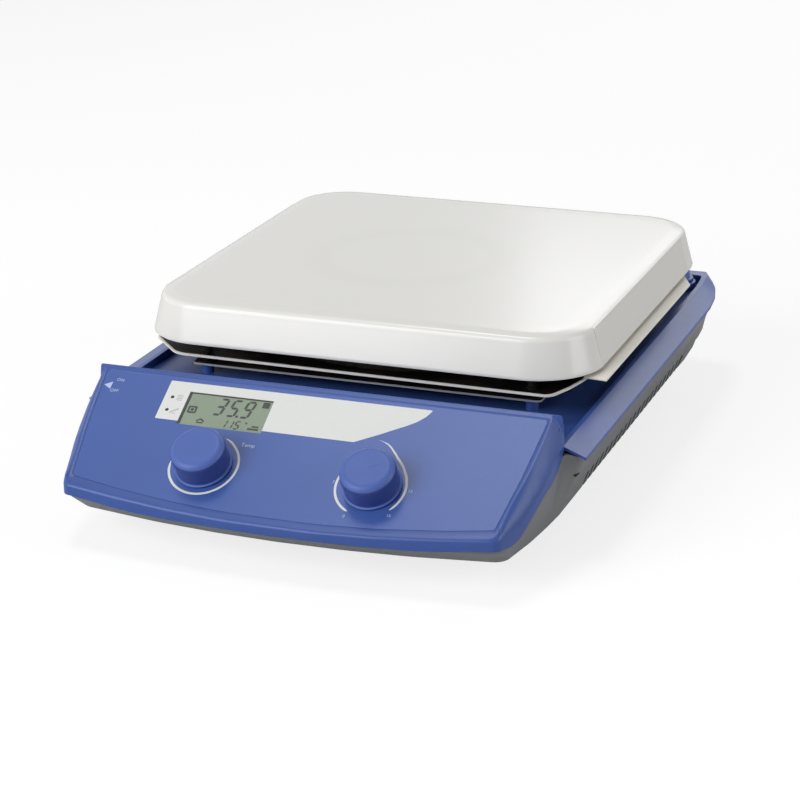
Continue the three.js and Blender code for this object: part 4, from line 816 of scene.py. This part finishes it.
class STIRRER_OT_housing(bpy.types.Operator):
    """Builds the blue cover: panel block, side rails, rear rim, tray and socket pad"""

    bl_idname = "stirrer.housing"
    bl_label = "Blue cover"

    def execute(self, context):
        sizes = context.scene.stirrer_sizes
        panel_block(sizes.crest_edge / MM, sizes.side_edge / MM).finish(
            "cover_panel_block", ["housing_blue"], nodes=["housing_cover"])
        rails().finish("cover_rails", ["housing_blue"], angle=14)

        inner = cover_outlines()[2] * (0.999, 1)
        inner[:, 1] = np.maximum(inner[:, 1], TRAY_FRONT)
        keep = np.append(True, np.abs(np.diff(inner, axis=0)).sum(-1) > 1e-6)
        bush = circle((0, PLATE_Y), TRAY_BUSH, 40)
        Body().slab([inner[keep], bush], TRAY_LOW, TRAY_TOP).finish(
            "cover_tray", ["housing_blue"])
        pad = [(12, 56.0), (12, 60.8), (11.8, 61.2), (11.4, 61.4), (5.2, 61.4), (5.2, 56.0)]
        Body().turned(pad, SOCKET, 48).finish("cover_socket_pad", ["housing_blue"])
        return {"FINISHED"}


# the base: heights of its floor, lip, rim and rear step, where the step and the rear wall stand,
# half the width of the connector recess, thickness of walls and floor, the connectors, the vents
FLOOR_Z, LIP_Z, RIM_Z, STEP_Z, STEP_Y = 15.0, 24.9, 54.6, 30.0, 162.5
REAR_WALL_Y, RECESS_HALF = 198.0, 92.0
BASE_WALL, BASE_SHEET, CONNECTOR_Z = 3.4, 3.0, 43.3
VENT_FIRST, VENT_PITCH, VENT_WIDTH, VENT_COUNT, VENT_DEPTH = -66.0, 10.0, 4.6, 22, 2.8


def base_track(front, corner, middle, waist, shoulder, tail, rear):
    """Right half of one outline, from the middle of the front to the connector recess."""
    fronts = [(corner[0] * s, front + (corner[1] - front) * s * s, 160) for s in (0.3, 0.6)]
    return track([(0, front, 0), *fronts, corner, middle, waist, shoulder, *tail, rear,
                  (RECESS_HALF, rear[1], 0)], 6, (0.33, 0.67))


def base_tracks():
    floor = base_track(-193.5, (122.9, -181, 9), (127.8, -151, 60), (130, -128, 60),
                       (131, -112, 60), [(131, 140, 40), (131.2, 163, 40), (129.6, 184, 20)],
                       (127, 193, 4))
    lip = base_track(-206, (126, -193, 10), (129.9, -150, 60), (132.6, -128, 60),
                     (134.3, -112, 60), [(134.3, 140, 40), (137.2, 166, 40), (136.4, 186, 20)],
                     (133, 196, 4))
    rim = base_track(-206, (127, -193, 10), (134.2, -150, 40), (136.6, -128.8, 6),
                     (148.6, -121.5, 6), [(148.5, 150, 40), (147.1, 168, 40), (142.2, 190, 30)],
                     (136.0, 206, 4.5))
    return floor, lip, rim


def at_rows(points, rows):
    """Rows of a track at fractional positions."""
    i = np.clip(np.floor(rows).astype(int), 0, len(points) - 2)
    return points[i] + (points[i + 1] - points[i]) * (rows - i)[:, None]


def base_stations(lip):
    """Rows of the track that carry the wall's columns: its points, the vents' edges, the rear step.

    Returns the rows, which of them lie in a vent, and which lie behind the step.
    """
    y_lip = lip[:, 1]
    on_side = (lip[:, 0] > 133.9) & (y_lip > -115) & (y_lip < 170)
    side = np.flatnonzero(on_side)
    middle = VENT_FIRST + VENT_PITCH * np.arange(VENT_COUNT)
    gates = np.stack([middle - VENT_WIDTH / 2] * 2 + [middle + VENT_WIDTH / 2] * 2, -1)
    gate_rows = np.interp(gates.reshape(-1), y_lip[side], side)
    step_row = np.interp(STEP_Y, y_lip[side], side)
    within = (gates[:, 0] < y_lip[:, None]) & (y_lip[:, None] < gates[:, -1])
    rows = np.concatenate([np.arange(len(lip)), gate_rows, [step_row] * 2])
    sunk = np.concatenate([within.any(-1) & on_side, [False, True, True, False] * VENT_COUNT,
                           [False] * 2])
    high = rows > step_row + 1e-6
    high[-1] = True
    order = np.lexsort((high, np.arange(len(rows)), np.round(rows, 6)))
    return rows[order], sunk[order], high[order]


def base_walls():
    """Side walls: a straight line from the floor to the lip and one from the lip to the rim."""
    tracks = base_tracks()
    rows, sunk, high = base_stations(tracks[1])
    floor, lip, rim = (at_rows(t, rows) for t in tracks)
    # the wall ends under the rails, and in front of them along the seam
    under_rail = RIM_Z + np.where(rim[:, 1] < 0, (148.6 - rim[:, 0]) * 0.36, 0)
    top = np.full(len(rows), RIM_Z)
    for _ in range(4):
        share = np.minimum((top - LIP_Z) / (RIM_Z - LIP_Z), 1)[:, None]
        x_top, y_top = (lip + (rim - lip) * share).T
        seam = np.minimum(under_rail, seam_height(x_top, y_top) - 0.3)
        top = np.where(y_top < SEAM_Y[-1], seam, under_rail)
    bottom = np.where(high, STEP_Z, FLOOR_Z)

    def wall(z, depth):
        """Plan points of the wall at the heights z, moved inward by depth."""
        low = np.clip((z - FLOOR_Z) / (LIP_Z - FLOOR_Z), 0, 1)[:, None]
        up = np.clip((z - LIP_Z) / (RIM_Z - LIP_Z), 0, 1)[:, None]
        spot = floor + (lip - floor) * low + (rim - lip) * up
        full = np.concatenate([spot, spot[::-1] * (-1, 1)])
        depth = np.broadcast_to(depth, len(spot))
        moved = inset(full, np.concatenate([depth, depth[::-1]]))[:len(spot)]
        moved[0, 0] = 0
        return at(moved, z)

    plain = np.zeros(len(rows), bool)
    section, flags = [], []
    for z, depth in ((FLOOR_Z, 0.9), (FLOOR_Z + 0.3, 0.3), (FLOOR_Z + 0.9, 0), (FLOOR_Z + 5, 0),
                     (LIP_Z - 0.4, 0), (LIP_Z - 0.1, 0)):
        vent = sunk if z < LIP_Z - 0.3 else plain
        section.append(wall(np.clip(z, bottom, top), np.maximum(depth, vent * VENT_DEPTH)))
        flags.append(vent)
    heights = [(0, np.clip(LIP_Z + (top - LIP_Z) * share, bottom, None))
               for share in np.linspace(0, 1, 13)[1:]]
    heights += [(0.3, top), (BASE_WALL - 0.2, top), (BASE_WALL, np.maximum(LIP_Z, bottom)),
                (BASE_WALL, bottom + 0.2)]
    for depth, z in heights:
        section.append(wall(z, depth))
        flags.append(plain)
    right = np.moveaxis(np.array(section), 0, 1)
    flags = np.array(flags).T
    # the vents' inside faces take the black finish: painted shade in the slots
    dark = (flags[:-1] & flags[1:]).astype(int)
    shell = Body()
    for mirror in (1, -1):
        shell.loft(right * (mirror, 1, 1), dark, False, True)
    return shell, floor


class STIRRER_OT_base(bpy.types.Operator):
    """Builds the grey base: side walls with their vents, floor, rear step and connector wall"""

    bl_idname = "stirrer.base"
    bl_label = "Grey base"

    def execute(self, context):
        shell, floor = base_walls()
        shell.finish("base_walls", ["base_grey", "black_plastic"], nodes=["base_shell"], angle=30)

        inner = floor[floor[:, 1] <= STEP_Y + 0.01]
        ring = inset(both_sides(inner[::-1])[::-1], 0.5)
        keep = np.append(np.abs(np.diff(ring, axis=0)).sum(-1) > 1e-6, True)
        screws = [circle((x, y), 4.3, 24) for x in (-116, 116) for y in (-96, 152)]
        parts = Body().slab([ring[keep], *screws], FLOOR_Z + 0.02, FLOOR_Z + BASE_SHEET)
        riser = rectangle((0, STEP_Y - 1.5), (128.6, 1.5), 0.3, 2)
        parts.slab([riser], FLOOR_Z + 0.05, STEP_Z + BASE_SHEET)
        back_end = 195.0
        ledge = rectangle((0, (STEP_Y + back_end) / 2), (129.5, (back_end - STEP_Y) / 2), 3, 4)
        parts.slab([ledge], STEP_Z + 0.02, STEP_Z + BASE_SHEET)
        parts.finish("base_floor", ["base_grey"])

        holes = [rectangle((-60, CONNECTOR_Z), (13.9, 9.9), 1, 4),
                 circle((-15, CONNECTOR_Z), 6.5, 32), circle((32, CONNECTOR_Z), 7.9, 32)]
        # drawn as seen from behind: height becomes the second coordinate, depth the third
        back = Body(lambda p: p[:, [0, 2, 1]])
        wall = rectangle((0, 42.3), (RECESS_HALF + 2, 12.3), 0.5, 2)
        back.slab([wall, *holes], 195.2, REAR_WALL_Y)
        back.finish("base_connector_wall", ["base_grey"])

        # painted shade: a small black dash in each side wall, where a slot is dark inside
        slot = np.array([(-2.6, -0.35), (2.6, -0.35), (2.6, 0.35), (-2.6, 0.35)])
        spot = np.array([142.9, -117.5, 43.2])
        lean = np.array([(0.06, 1, 0), (0.43, 0, 0.9), (0.9, -0.06, -0.43)])
        for mirror, word in ((1, "right"), (-1, "left")):
            Body(lambda p: (spot + p @ lean) * (mirror, 1, 1)).slab([slot], -2.4, 0.5).finish(
                "base_slot_shade_" + word, ["black_plastic"], "base_grey")
        return {"FINISHED"}


class STIRRER_OT_feet(bpy.types.Operator):
    """Builds the four rubber feet with their rims and sunk middles"""

    bl_idname = "stirrer.feet"
    bl_label = "Feet"

    def execute(self, context):
        profile = [(2.4, 7.0), (5, 7.0), (5, 0.8), (5.4, 0), (9.6, 0), (10.4, 0.5), (10.6, 1.4),
                   (10.8, 3.0), (11.2, 3.3), (11.2, 3.9), (10.9, 4.2), (11.7, 13.6), (11.9, 14.4),
                   (11.5, 14.7), (2.4, 14.7), (2.4, 7.0)]
        for x, side in ((-100, "left"), (100, "right")):
            for y, end in ((-130, "front"), (148, "back")):
                Body().turned(profile, (x, y), 48).finish(
                    f"foot_rubber_{end}_{side}", ["foot_rubber"],
                    nodes=[f"foot_{end}_{side}"])
        return {"FINISHED"}


# ---------------------------------------------------------------- panel print and display


def printed(body, outline_points):
    """Adds one flat shape of ink that is bedded in the film."""
    return body.slab([outline_points], FILM_TOP - INK_SINK, INK_TOP)


def bar(start, end, width, taper=0.0):
    """Flat bar between two points, six corners, its ends brought to blunt points."""
    start, end = np.asarray(start, float), np.asarray(end, float)
    along = unit(end - start)
    across = np.array([-along[1], along[0]]) * width / 2
    tip = along * width / 2 * taper
    return np.array([start, start + tip + across, end - tip + across, end, end - tip - across,
                     start + tip - across])


SEGMENTS = {"0": "abcdef", "1": "bc", "3": "abcdg", "5": "acdfg", "9": "abcdfg"}


def digit(character, corner, width, height, thick, slant):
    """Seven bar segments of one digit as outlines; u moves by slant times v."""
    w, h, g = width, height, thick * 0.12
    ends = {"a": ((0, h), (w, h)), "b": ((w, h), (w, h / 2)), "c": ((w, h / 2), (w, 0)),
            "d": ((0, 0), (w, 0)), "e": ((0, 0), (0, h / 2)), "f": ((0, h / 2), (0, h)),
            "g": ((0, h / 2), (w, h / 2))}
    shapes = []
    for name in SEGMENTS[character]:
        p, q = (np.array(e) for e in ends[name])
        way = unit(q - p)
        shape = bar(p + way * g, q - way * g, thick, 0.9)
        shape[:, 0] += shape[:, 1] * slant
        shapes.append(shape + np.asarray(corner))
    return shapes


class STIRRER_OT_panel_print(bpy.types.Operator):
    """Builds the panel film and its print: label strip, arcs, marks and words"""

    bl_idname = "stirrer.panel_print"
    bl_label = "Panel film and print"

    def execute(self, context):
        recess = recess_outline()
        holes = panel_holes(0.1, FILM_HOLE)
        film = inset(recess, np.full(len(recess), 0.12))
        Body(on_panel).slab([film, *holes], RECESS_FLOOR + 0.02, FILM_TOP).finish(
            "panel_film", ["foil_blue"], nodes=["panel_foil"])

        (u, v), (a, b) = WINDOW_CENTRE, WINDOW_HALF
        tip = np.array([(28.8, -34.7), (29.6, -34.4), (41.8, -27.6), (48.3, -23.6), (54.7, -19.8),
                        (59.6, -16.4), (63.4, -12.5), (65.3, -9.3), (65.9, -7.9), (65.6, -7.5),
                        (64.6, -7.4)])
        strip = np.concatenate([[(-88.9, -7.4), (-89.2, -7.7), (-89.2, -34.3), (-88.9, -34.6),
                                 (u - a, -34.6), (u - a, v + b), (u + a, v + b),
                                 (u + a, -34.7)], tip])
        printed(Body(on_panel), strip).finish("label_strip", ["ink_white"], "foil_blue")

        width = context.scene.stirrer_sizes.arc_width / MM
        steps = 72
        share = np.linspace(0, 1, steps)
        # the long tail of the right scale leaves the circle: radius by angle
        tail_angle = np.linspace(-45, 101, steps)
        tail = np.interp(tail_angle, [-45, -40, -20, 0, 20, 40, 50, 60, 70, 80, 90, 101],
                         [19.2, 19.1, 18.6, 18.3, 18.2, 18.7, 19.5, 20.4, 21.9, 24.6, 28.4, 31.3])
        ring = 19.5 + 0.8 * (1 - smooth(share, 0, 0.12))
        lines = [((-48.95, -62.1), np.linspace(72, -181, steps), ring, 1.0),
                 ((47.9, -62.0), np.linspace(159, 246.5, steps), 19.4, 1.0),
                 ((KNOB_U, KNOB_V), tail_angle, tail, 1.0 - 0.7 * smooth(share, 0.84, 1.0))]
        arcs = Body(on_panel)
        for middle, angle, radius, weight in lines:
            turn = np.radians(angle)
            way = np.stack([np.cos(turn), np.sin(turn)], -1)
            thin = width / 2 * weight * np.clip(np.minimum(share, 1 - share) * 14 + 0.25, 0, 1)
            outer, inner = (np.array(middle) + way * (radius + t)[:, None] for t in (thin, -thin))
            printed(arcs, np.concatenate([outer, inner[::-1]]))
        arcs.finish("scale_arcs", ["ink_white"], "foil_blue")

        arrow = np.array([(-128.2, -15.6), (-123.6, -18.2), (-123.6, -13.0)])
        marks = printed(Body(on_panel), arrow)
        letters = [("ON", 3.0, (-119.6, -11.3)), ("OFF", 3.0, (-120.5, -19.2)),
                   ("Temp", 3.4, (-28.8, -45.5))]
        for angle, reach, text in ((246, 23.2, "0"), (180, 22.2, "3"), (0, 21.2, "12"),
                                   (-50, 22.4, "15")):
            turn = math.radians(angle)
            centre = (KNOB_U + reach * math.cos(turn), KNOB_V + reach * math.sin(turn))
            letters.append((text, 2.5, centre))
        for text, size, centre in letters:
            points, faces = words(text, size, centre)
            marks.add(at(points, INK_TOP), faces)
        marks.finish("panel_marks", ["ink_pale"], "foil_blue")

        signs = Body(on_panel)
        lines = [((-81.6, -17.2 - row * 1.1), (-78.2, -17.2 - row * 1.1), 0.4) for row in range(4)]
        lines += [((-82.2, -29.6), (-77.6, -26.4), 0.7), ((-80.6, -29.9), (-79.0, -29.9), 0.5)]
        for line in lines:
            signs.slab([bar(*line)], INK_TOP - 0.05, INK_TOP + 0.04)
        signs.finish("lamp_signs", ["ink_grey"], "foil_blue")
        for word, v_lamp in (("upper", -18.8), ("lower", -27.9)):
            dome = [(1.05, INK_TOP - 0.5), (1.05, INK_TOP + 0.02), (0.9, INK_TOP + 0.12),
                    (0.5, INK_TOP + 0.2), (0, INK_TOP + 0.24)]
            Body(on_panel).turned(dome, (-84.4, v_lamp), 24).finish(
                "lamp_" + word, ["frame_black"], "indicator", nodes=["indicator_" + word])
        return {"FINISHED"}


class STIRRER_OT_display(bpy.types.Operator):
    """Builds the screen behind its window with large and small digits"""

    bl_idname = "stirrer.display"
    bl_label = "Display"

    def execute(self, context):
        (u, v), (a, b) = WINDOW_CENTRE, WINDOW_HALF
        screen, thin = -0.75, 0.05
        Body(on_panel).slab([rectangle((u, v), (a, b), 0.5, 3)], -4.6, screen).finish(
            "screen_plate", ["display_green"])
        # painted shadow: a black strip along the window's left and top edges, where the sunk window
        # is in shade
        frame = Body(on_panel)
        frame.slab([np.array([(u - a, v - b), (u - a + 1.4, v - b), (u - a + 1.4, v + b - 0.6),
                              (u + a, v + b - 0.6), (u + a, v + b), (u - a, v + b)])],
                   screen - 2 * thin, INK_TOP - 0.02)
        frame.finish("screen_shadow_strip", ["frame_black"], "black_plastic")
        shapes = []
        for text, corner, width, height, thick, step in (
            ("359", (-57.1, -27.0), 4.3, 11.0, 1.5, 8.15),
            ("115", (-49.8, -35.2), 2.4, 5.2, 0.85, 3.9),
        ):
            for i, character in enumerate(text):
                place = (corner[0] + i * step, corner[1])
                shapes += digit(character, place, width, height, thick, 0.2)
        shapes += [rectangle((-42.6, -26.8), (0.75, 0.75), 0.1, 1),
                   rectangle((-35.4, -30.6), (0.6, 0.6), 0.1, 1),
                   rectangle((-28.2, -17.0), (2.1, 2.0), 0.5, 2),
                   bar((-64.8, -33.0), (-62.6, -31.2), 1.0),
                   bar((-62.6, -31.2), (-60.2, -33.0), 1.0),
                   bar((-64.4, -33.9), (-60.6, -33.9), 0.9),
                   bar((-33.6, -34.2), (-27.2, -34.2), 1.3),
                   bar((-31.6, -32.4), (-27.6, -32.4), 1.1)]
        badge = (-69.9, -25.5)
        frame_loops = [rectangle(badge, (2.7, 2.5), 0.8, 3), rectangle(badge, (1.6, 1.4), 0.4, 3)]
        digits = Body(on_panel)
        loose = [[shape] for shape in shapes]
        for loops in loose + [frame_loops, [rectangle(badge, (0.9, 0.9), 0.2, 2)]]:
            digits.slab(loops, screen - thin, screen + thin)
        digits.finish("screen_digits", ["segment_black"], "display_green",
                      nodes=["display_module"])
        Body(on_panel).slab([rectangle((u, v), (a - 0.02, b - 0.02), 0.6, 4)],
                            screen + 0.12, INK_TOP).finish(
            "window_glass", ["clear_window"], nodes=["display_window"])
        return {"FINISHED"}


class STIRRER_OT_knobs(bpy.types.Operator):
    """Builds both knobs with their foot rings, sides painted darker as shade and soft top edges"""

    bl_idname = "stirrer.knobs"
    bl_label = "Knobs"

    def execute(self, context):
        soft = context.scene.stirrer_sizes.knob_edge / MM
        radius, top = 15.3, 15.8
        edge = [(radius - s, top - d) for s, d in quarter(soft, 8)[::-1]]
        profile = [(0, 6.0), (7.4, 6.0), (7.4, 0.5), (16.0, 0.5), (16.2, 0.7), (16.2, 0.95),
                   (15.9, 1.15), (15.2, 1.3), (15.0, 1.6), (15.1, 5.0), (radius, 9.0),
                   *edge, (radius - soft - 0.6, top), (7, top - 0.08), (0, top - 0.12)]
        # the side is painted darker as the shade on it; it runs from above the foot ring to the
        # middle of the round edge
        heights = np.array(profile)[:, 1]
        marks = ((heights[:-1] > 1.2) & (heights[1:] < top - 0.55 * soft)).astype(int)[:, None]
        for side, word in ((-1, "temperature"), (1, "speed")):
            knob = Body(on_panel).turned(profile, (side * KNOB_U, KNOB_V), 96, marks)
            if side > 0:
                turn = np.array([math.cos(POINTER), math.sin(POINTER)])
                centre = np.array([KNOB_U, KNOB_V])
                pointer = bar(centre + turn * 1.5, centre + turn * 11.0, 0.7, 1.0)
                knob.slab([pointer], top - 0.4, top)
            knob.finish(word + "_knob_cap", ["knob_blue", "knob_side"], None, word + "_dial",
                        [word + "_knob"], 28)
        return {"FINISHED"}


class STIRRER_OT_rod_socket(bpy.types.Operator):
    """Builds the threaded socket for a support rod at the back right"""

    bl_idname = "stirrer.rod_socket"
    bl_label = "Rod socket"

    def execute(self, context):
        thread = [p for i in range(6) for p in ((5.0, 74.2 - i * 1.4), (4.7, 73.5 - i * 1.4))]
        profile = [(0, 61.7), (10.2, 61.7), (10.5, 62.0), (10.5, 63.4), (10.2, 63.7), (8.7, 63.9),
                   (8.3, 64.6), (7.0, 75.4), (6.7, 75.8), (6.3, 76.0), (5.3, 76.0), (5.0, 75.7),
                   *thread, (5.0, 65.7), (0, 65.7)]
        Body().turned(profile, SOCKET, 48).finish(
            "rod_socket_turned", ["housing_blue"], nodes=["rod_socket"])
        return {"FINISHED"}


class STIRRER_OT_solids(bpy.types.Operator):
    """Gives the finish of its slot to every solid that is shown as it is"""

    bl_idname = "stirrer.solids"
    bl_label = "Other parts"

    def execute(self, context):
        made = finishes()
        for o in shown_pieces():
            if "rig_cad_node" in o:
                for slot_item in o.material_slots:
                    name = slot_item.material.name.split(".")[0]
                    if name in made:
                        slot_item.material = made[name]
        return {"FINISHED"}


# ---------------------------------------------------------------- stage


def paper_floor():
    """A wide floor that is grey to the light and evenly pale to the camera."""
    mesh = bpy.data.meshes.new("floor")
    mesh.from_pydata([(-9, -9, 0), (9, -9, 0), (9, 9, 0), (-9, 9, 0)], [], [(0, 1, 2, 3)])
    s = Shader("floor_paper", {"Roughness": 0.9, "Specular IOR Level": 0.0,
                               "Emission Strength": 1.0})
    seen = s.node("ShaderNodeLightPath")
    for socket, unseen, shown in (("Base Color", 0.86, 0.3), ("Emission Color", 0.0, 0.78)):
        s.feed(socket, s.mix(seen, (unseen,) * 3, (shown,) * 3))
    mesh.materials.append(s.material)
    return bpy.data.objects.new("floor", mesh)


def area_lamp(name, place, aim, size, power):
    light = bpy.data.lights.new(name, "AREA")
    light.shape, light.energy = "RECTANGLE", power
    light.size, light.size_y = size
    lamp = bpy.data.objects.new(name, light)
    lamp.location = place
    lamp.rotation_euler = (Vector(aim) - Vector(place)).to_track_quat("-Z", "Y").to_euler()
    return lamp


def studio_world(dim):
    """White to the camera, in mirror images and through glass, and dim as a source of light."""
    world = bpy.data.worlds.new("studio")
    world.use_nodes = True
    tree = world.node_tree
    path = tree.nodes.new("ShaderNodeLightPath")
    last = path.outputs["Is Camera Ray"]
    for kind in ("Is Glossy Ray", "Is Transmission Ray"):
        lit = tree.nodes.new("ShaderNodeMath")
        lit.operation = "MAXIMUM"
        tree.links.new(last, lit.inputs[0])
        tree.links.new(path.outputs[kind], lit.inputs[1])
        last = lit.outputs[0]
    level = tree.nodes.new("ShaderNodeMapRange")
    level.inputs["To Min"].default_value = dim
    tree.links.new(last, level.inputs["Value"])
    sky = tree.nodes["Background"]
    sky.inputs["Color"].default_value = (1, 1, 1, 1)
    tree.links.new(level.outputs[0], sky.inputs["Strength"])
    return world


def product_view():
    """The camera, from its three axes and its place."""
    camera = bpy.data.cameras.new("camera")
    camera.sensor_width, camera.lens = 36.0, 105.43
    camera.clip_start, camera.clip_end = 0.05, 50
    view = bpy.data.objects.new("camera", camera)
    axes = Matrix(((0.93528, 0.35359, -0.01542), (-0.10699, 0.32402, 0.94000),
                   (0.33737, -0.87750, 0.34087))).transposed().to_4x4()
    view.matrix_world = Matrix.Translation((0.4730, -1.2385, 0.5096)) @ axes
    return view


class STIRRER_OT_stage(bpy.types.Operator):
    """Sets the floor, the lamps, the world and the camera"""

    bl_idname = "stirrer.stage"
    bl_label = "Stage"

    def execute(self, context):
        scene = context.scene
        props = [paper_floor()]
        for lamp in (
            ("key", (-1.2, -1.86, 1.06), (0, -0.05, 0.06), (1.6, 1.6), 43),
            ("fill", (2.1, 0.11, 0.72), (0.05, 0, 0.06), (1.3, 1.3), 15),
            ("sheen", (-0.42, 0.1, 2.25), (0.02, 0, 0.06), (0.6, 0.6), 10),
            ("back", (0.1, 1.95, 1.05), (0.05, 0, 0.06), (1.4, 0.7), 6),
        ):
            props.append(area_lamp(*lamp))
        scene.camera = product_view()
        for item in (*props, scene.camera):
            scene.collection.objects.link(item)
        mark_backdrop(*props)
        scene.world = studio_world(0.15)
        scene.view_settings.view_transform = "Standard"
        return {"FINISHED"}


class STIRRER_PT_panel(bpy.types.Panel):
    bl_idname = "STIRRER_PT_panel"
    bl_label = "Heated stirrer"
    bl_space_type = "VIEW_3D"
    bl_region_type = "UI"
    bl_category = "Stirrer"

    def draw(self, context):
        for group in (context.scene.stirrer_sizes, context.scene.stirrer_colours):
            for key in group.bl_rna.properties.keys():
                if key not in ("rna_type", "name"):
                    self.layout.prop(group, key)
        for operator in OPERATORS:
            self.layout.operator(operator.bl_idname)


OPERATORS = (STIRRER_OT_stage, STIRRER_OT_hot_plate, STIRRER_OT_heat_shields, STIRRER_OT_housing,
             STIRRER_OT_base, STIRRER_OT_feet, STIRRER_OT_panel_print, STIRRER_OT_display,
             STIRRER_OT_knobs, STIRRER_OT_rod_socket, STIRRER_OT_solids)
CLASSES = (StirrerSizes, StirrerColours, *OPERATORS, STIRRER_PT_panel)


def register():
    for item in CLASSES:
        bpy.utils.register_class(item)
    bpy.types.Scene.stirrer_sizes = bpy.props.PointerProperty(type=StirrerSizes)
    bpy.types.Scene.stirrer_colours = bpy.props.PointerProperty(type=StirrerColours)


def unregister():
    del bpy.types.Scene.stirrer_sizes, bpy.types.Scene.stirrer_colours
    for item in reversed(CLASSES):
        bpy.utils.unregister_class(item)


def main():
    for o in list(bpy.data.objects):
        bpy.data.objects.remove(o)
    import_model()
    register()
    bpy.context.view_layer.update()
    for operator in OPERATORS:
        getattr(bpy.ops.stirrer, operator.bl_idname.split(".")[1])()


if __name__ == "__main__":
    main()
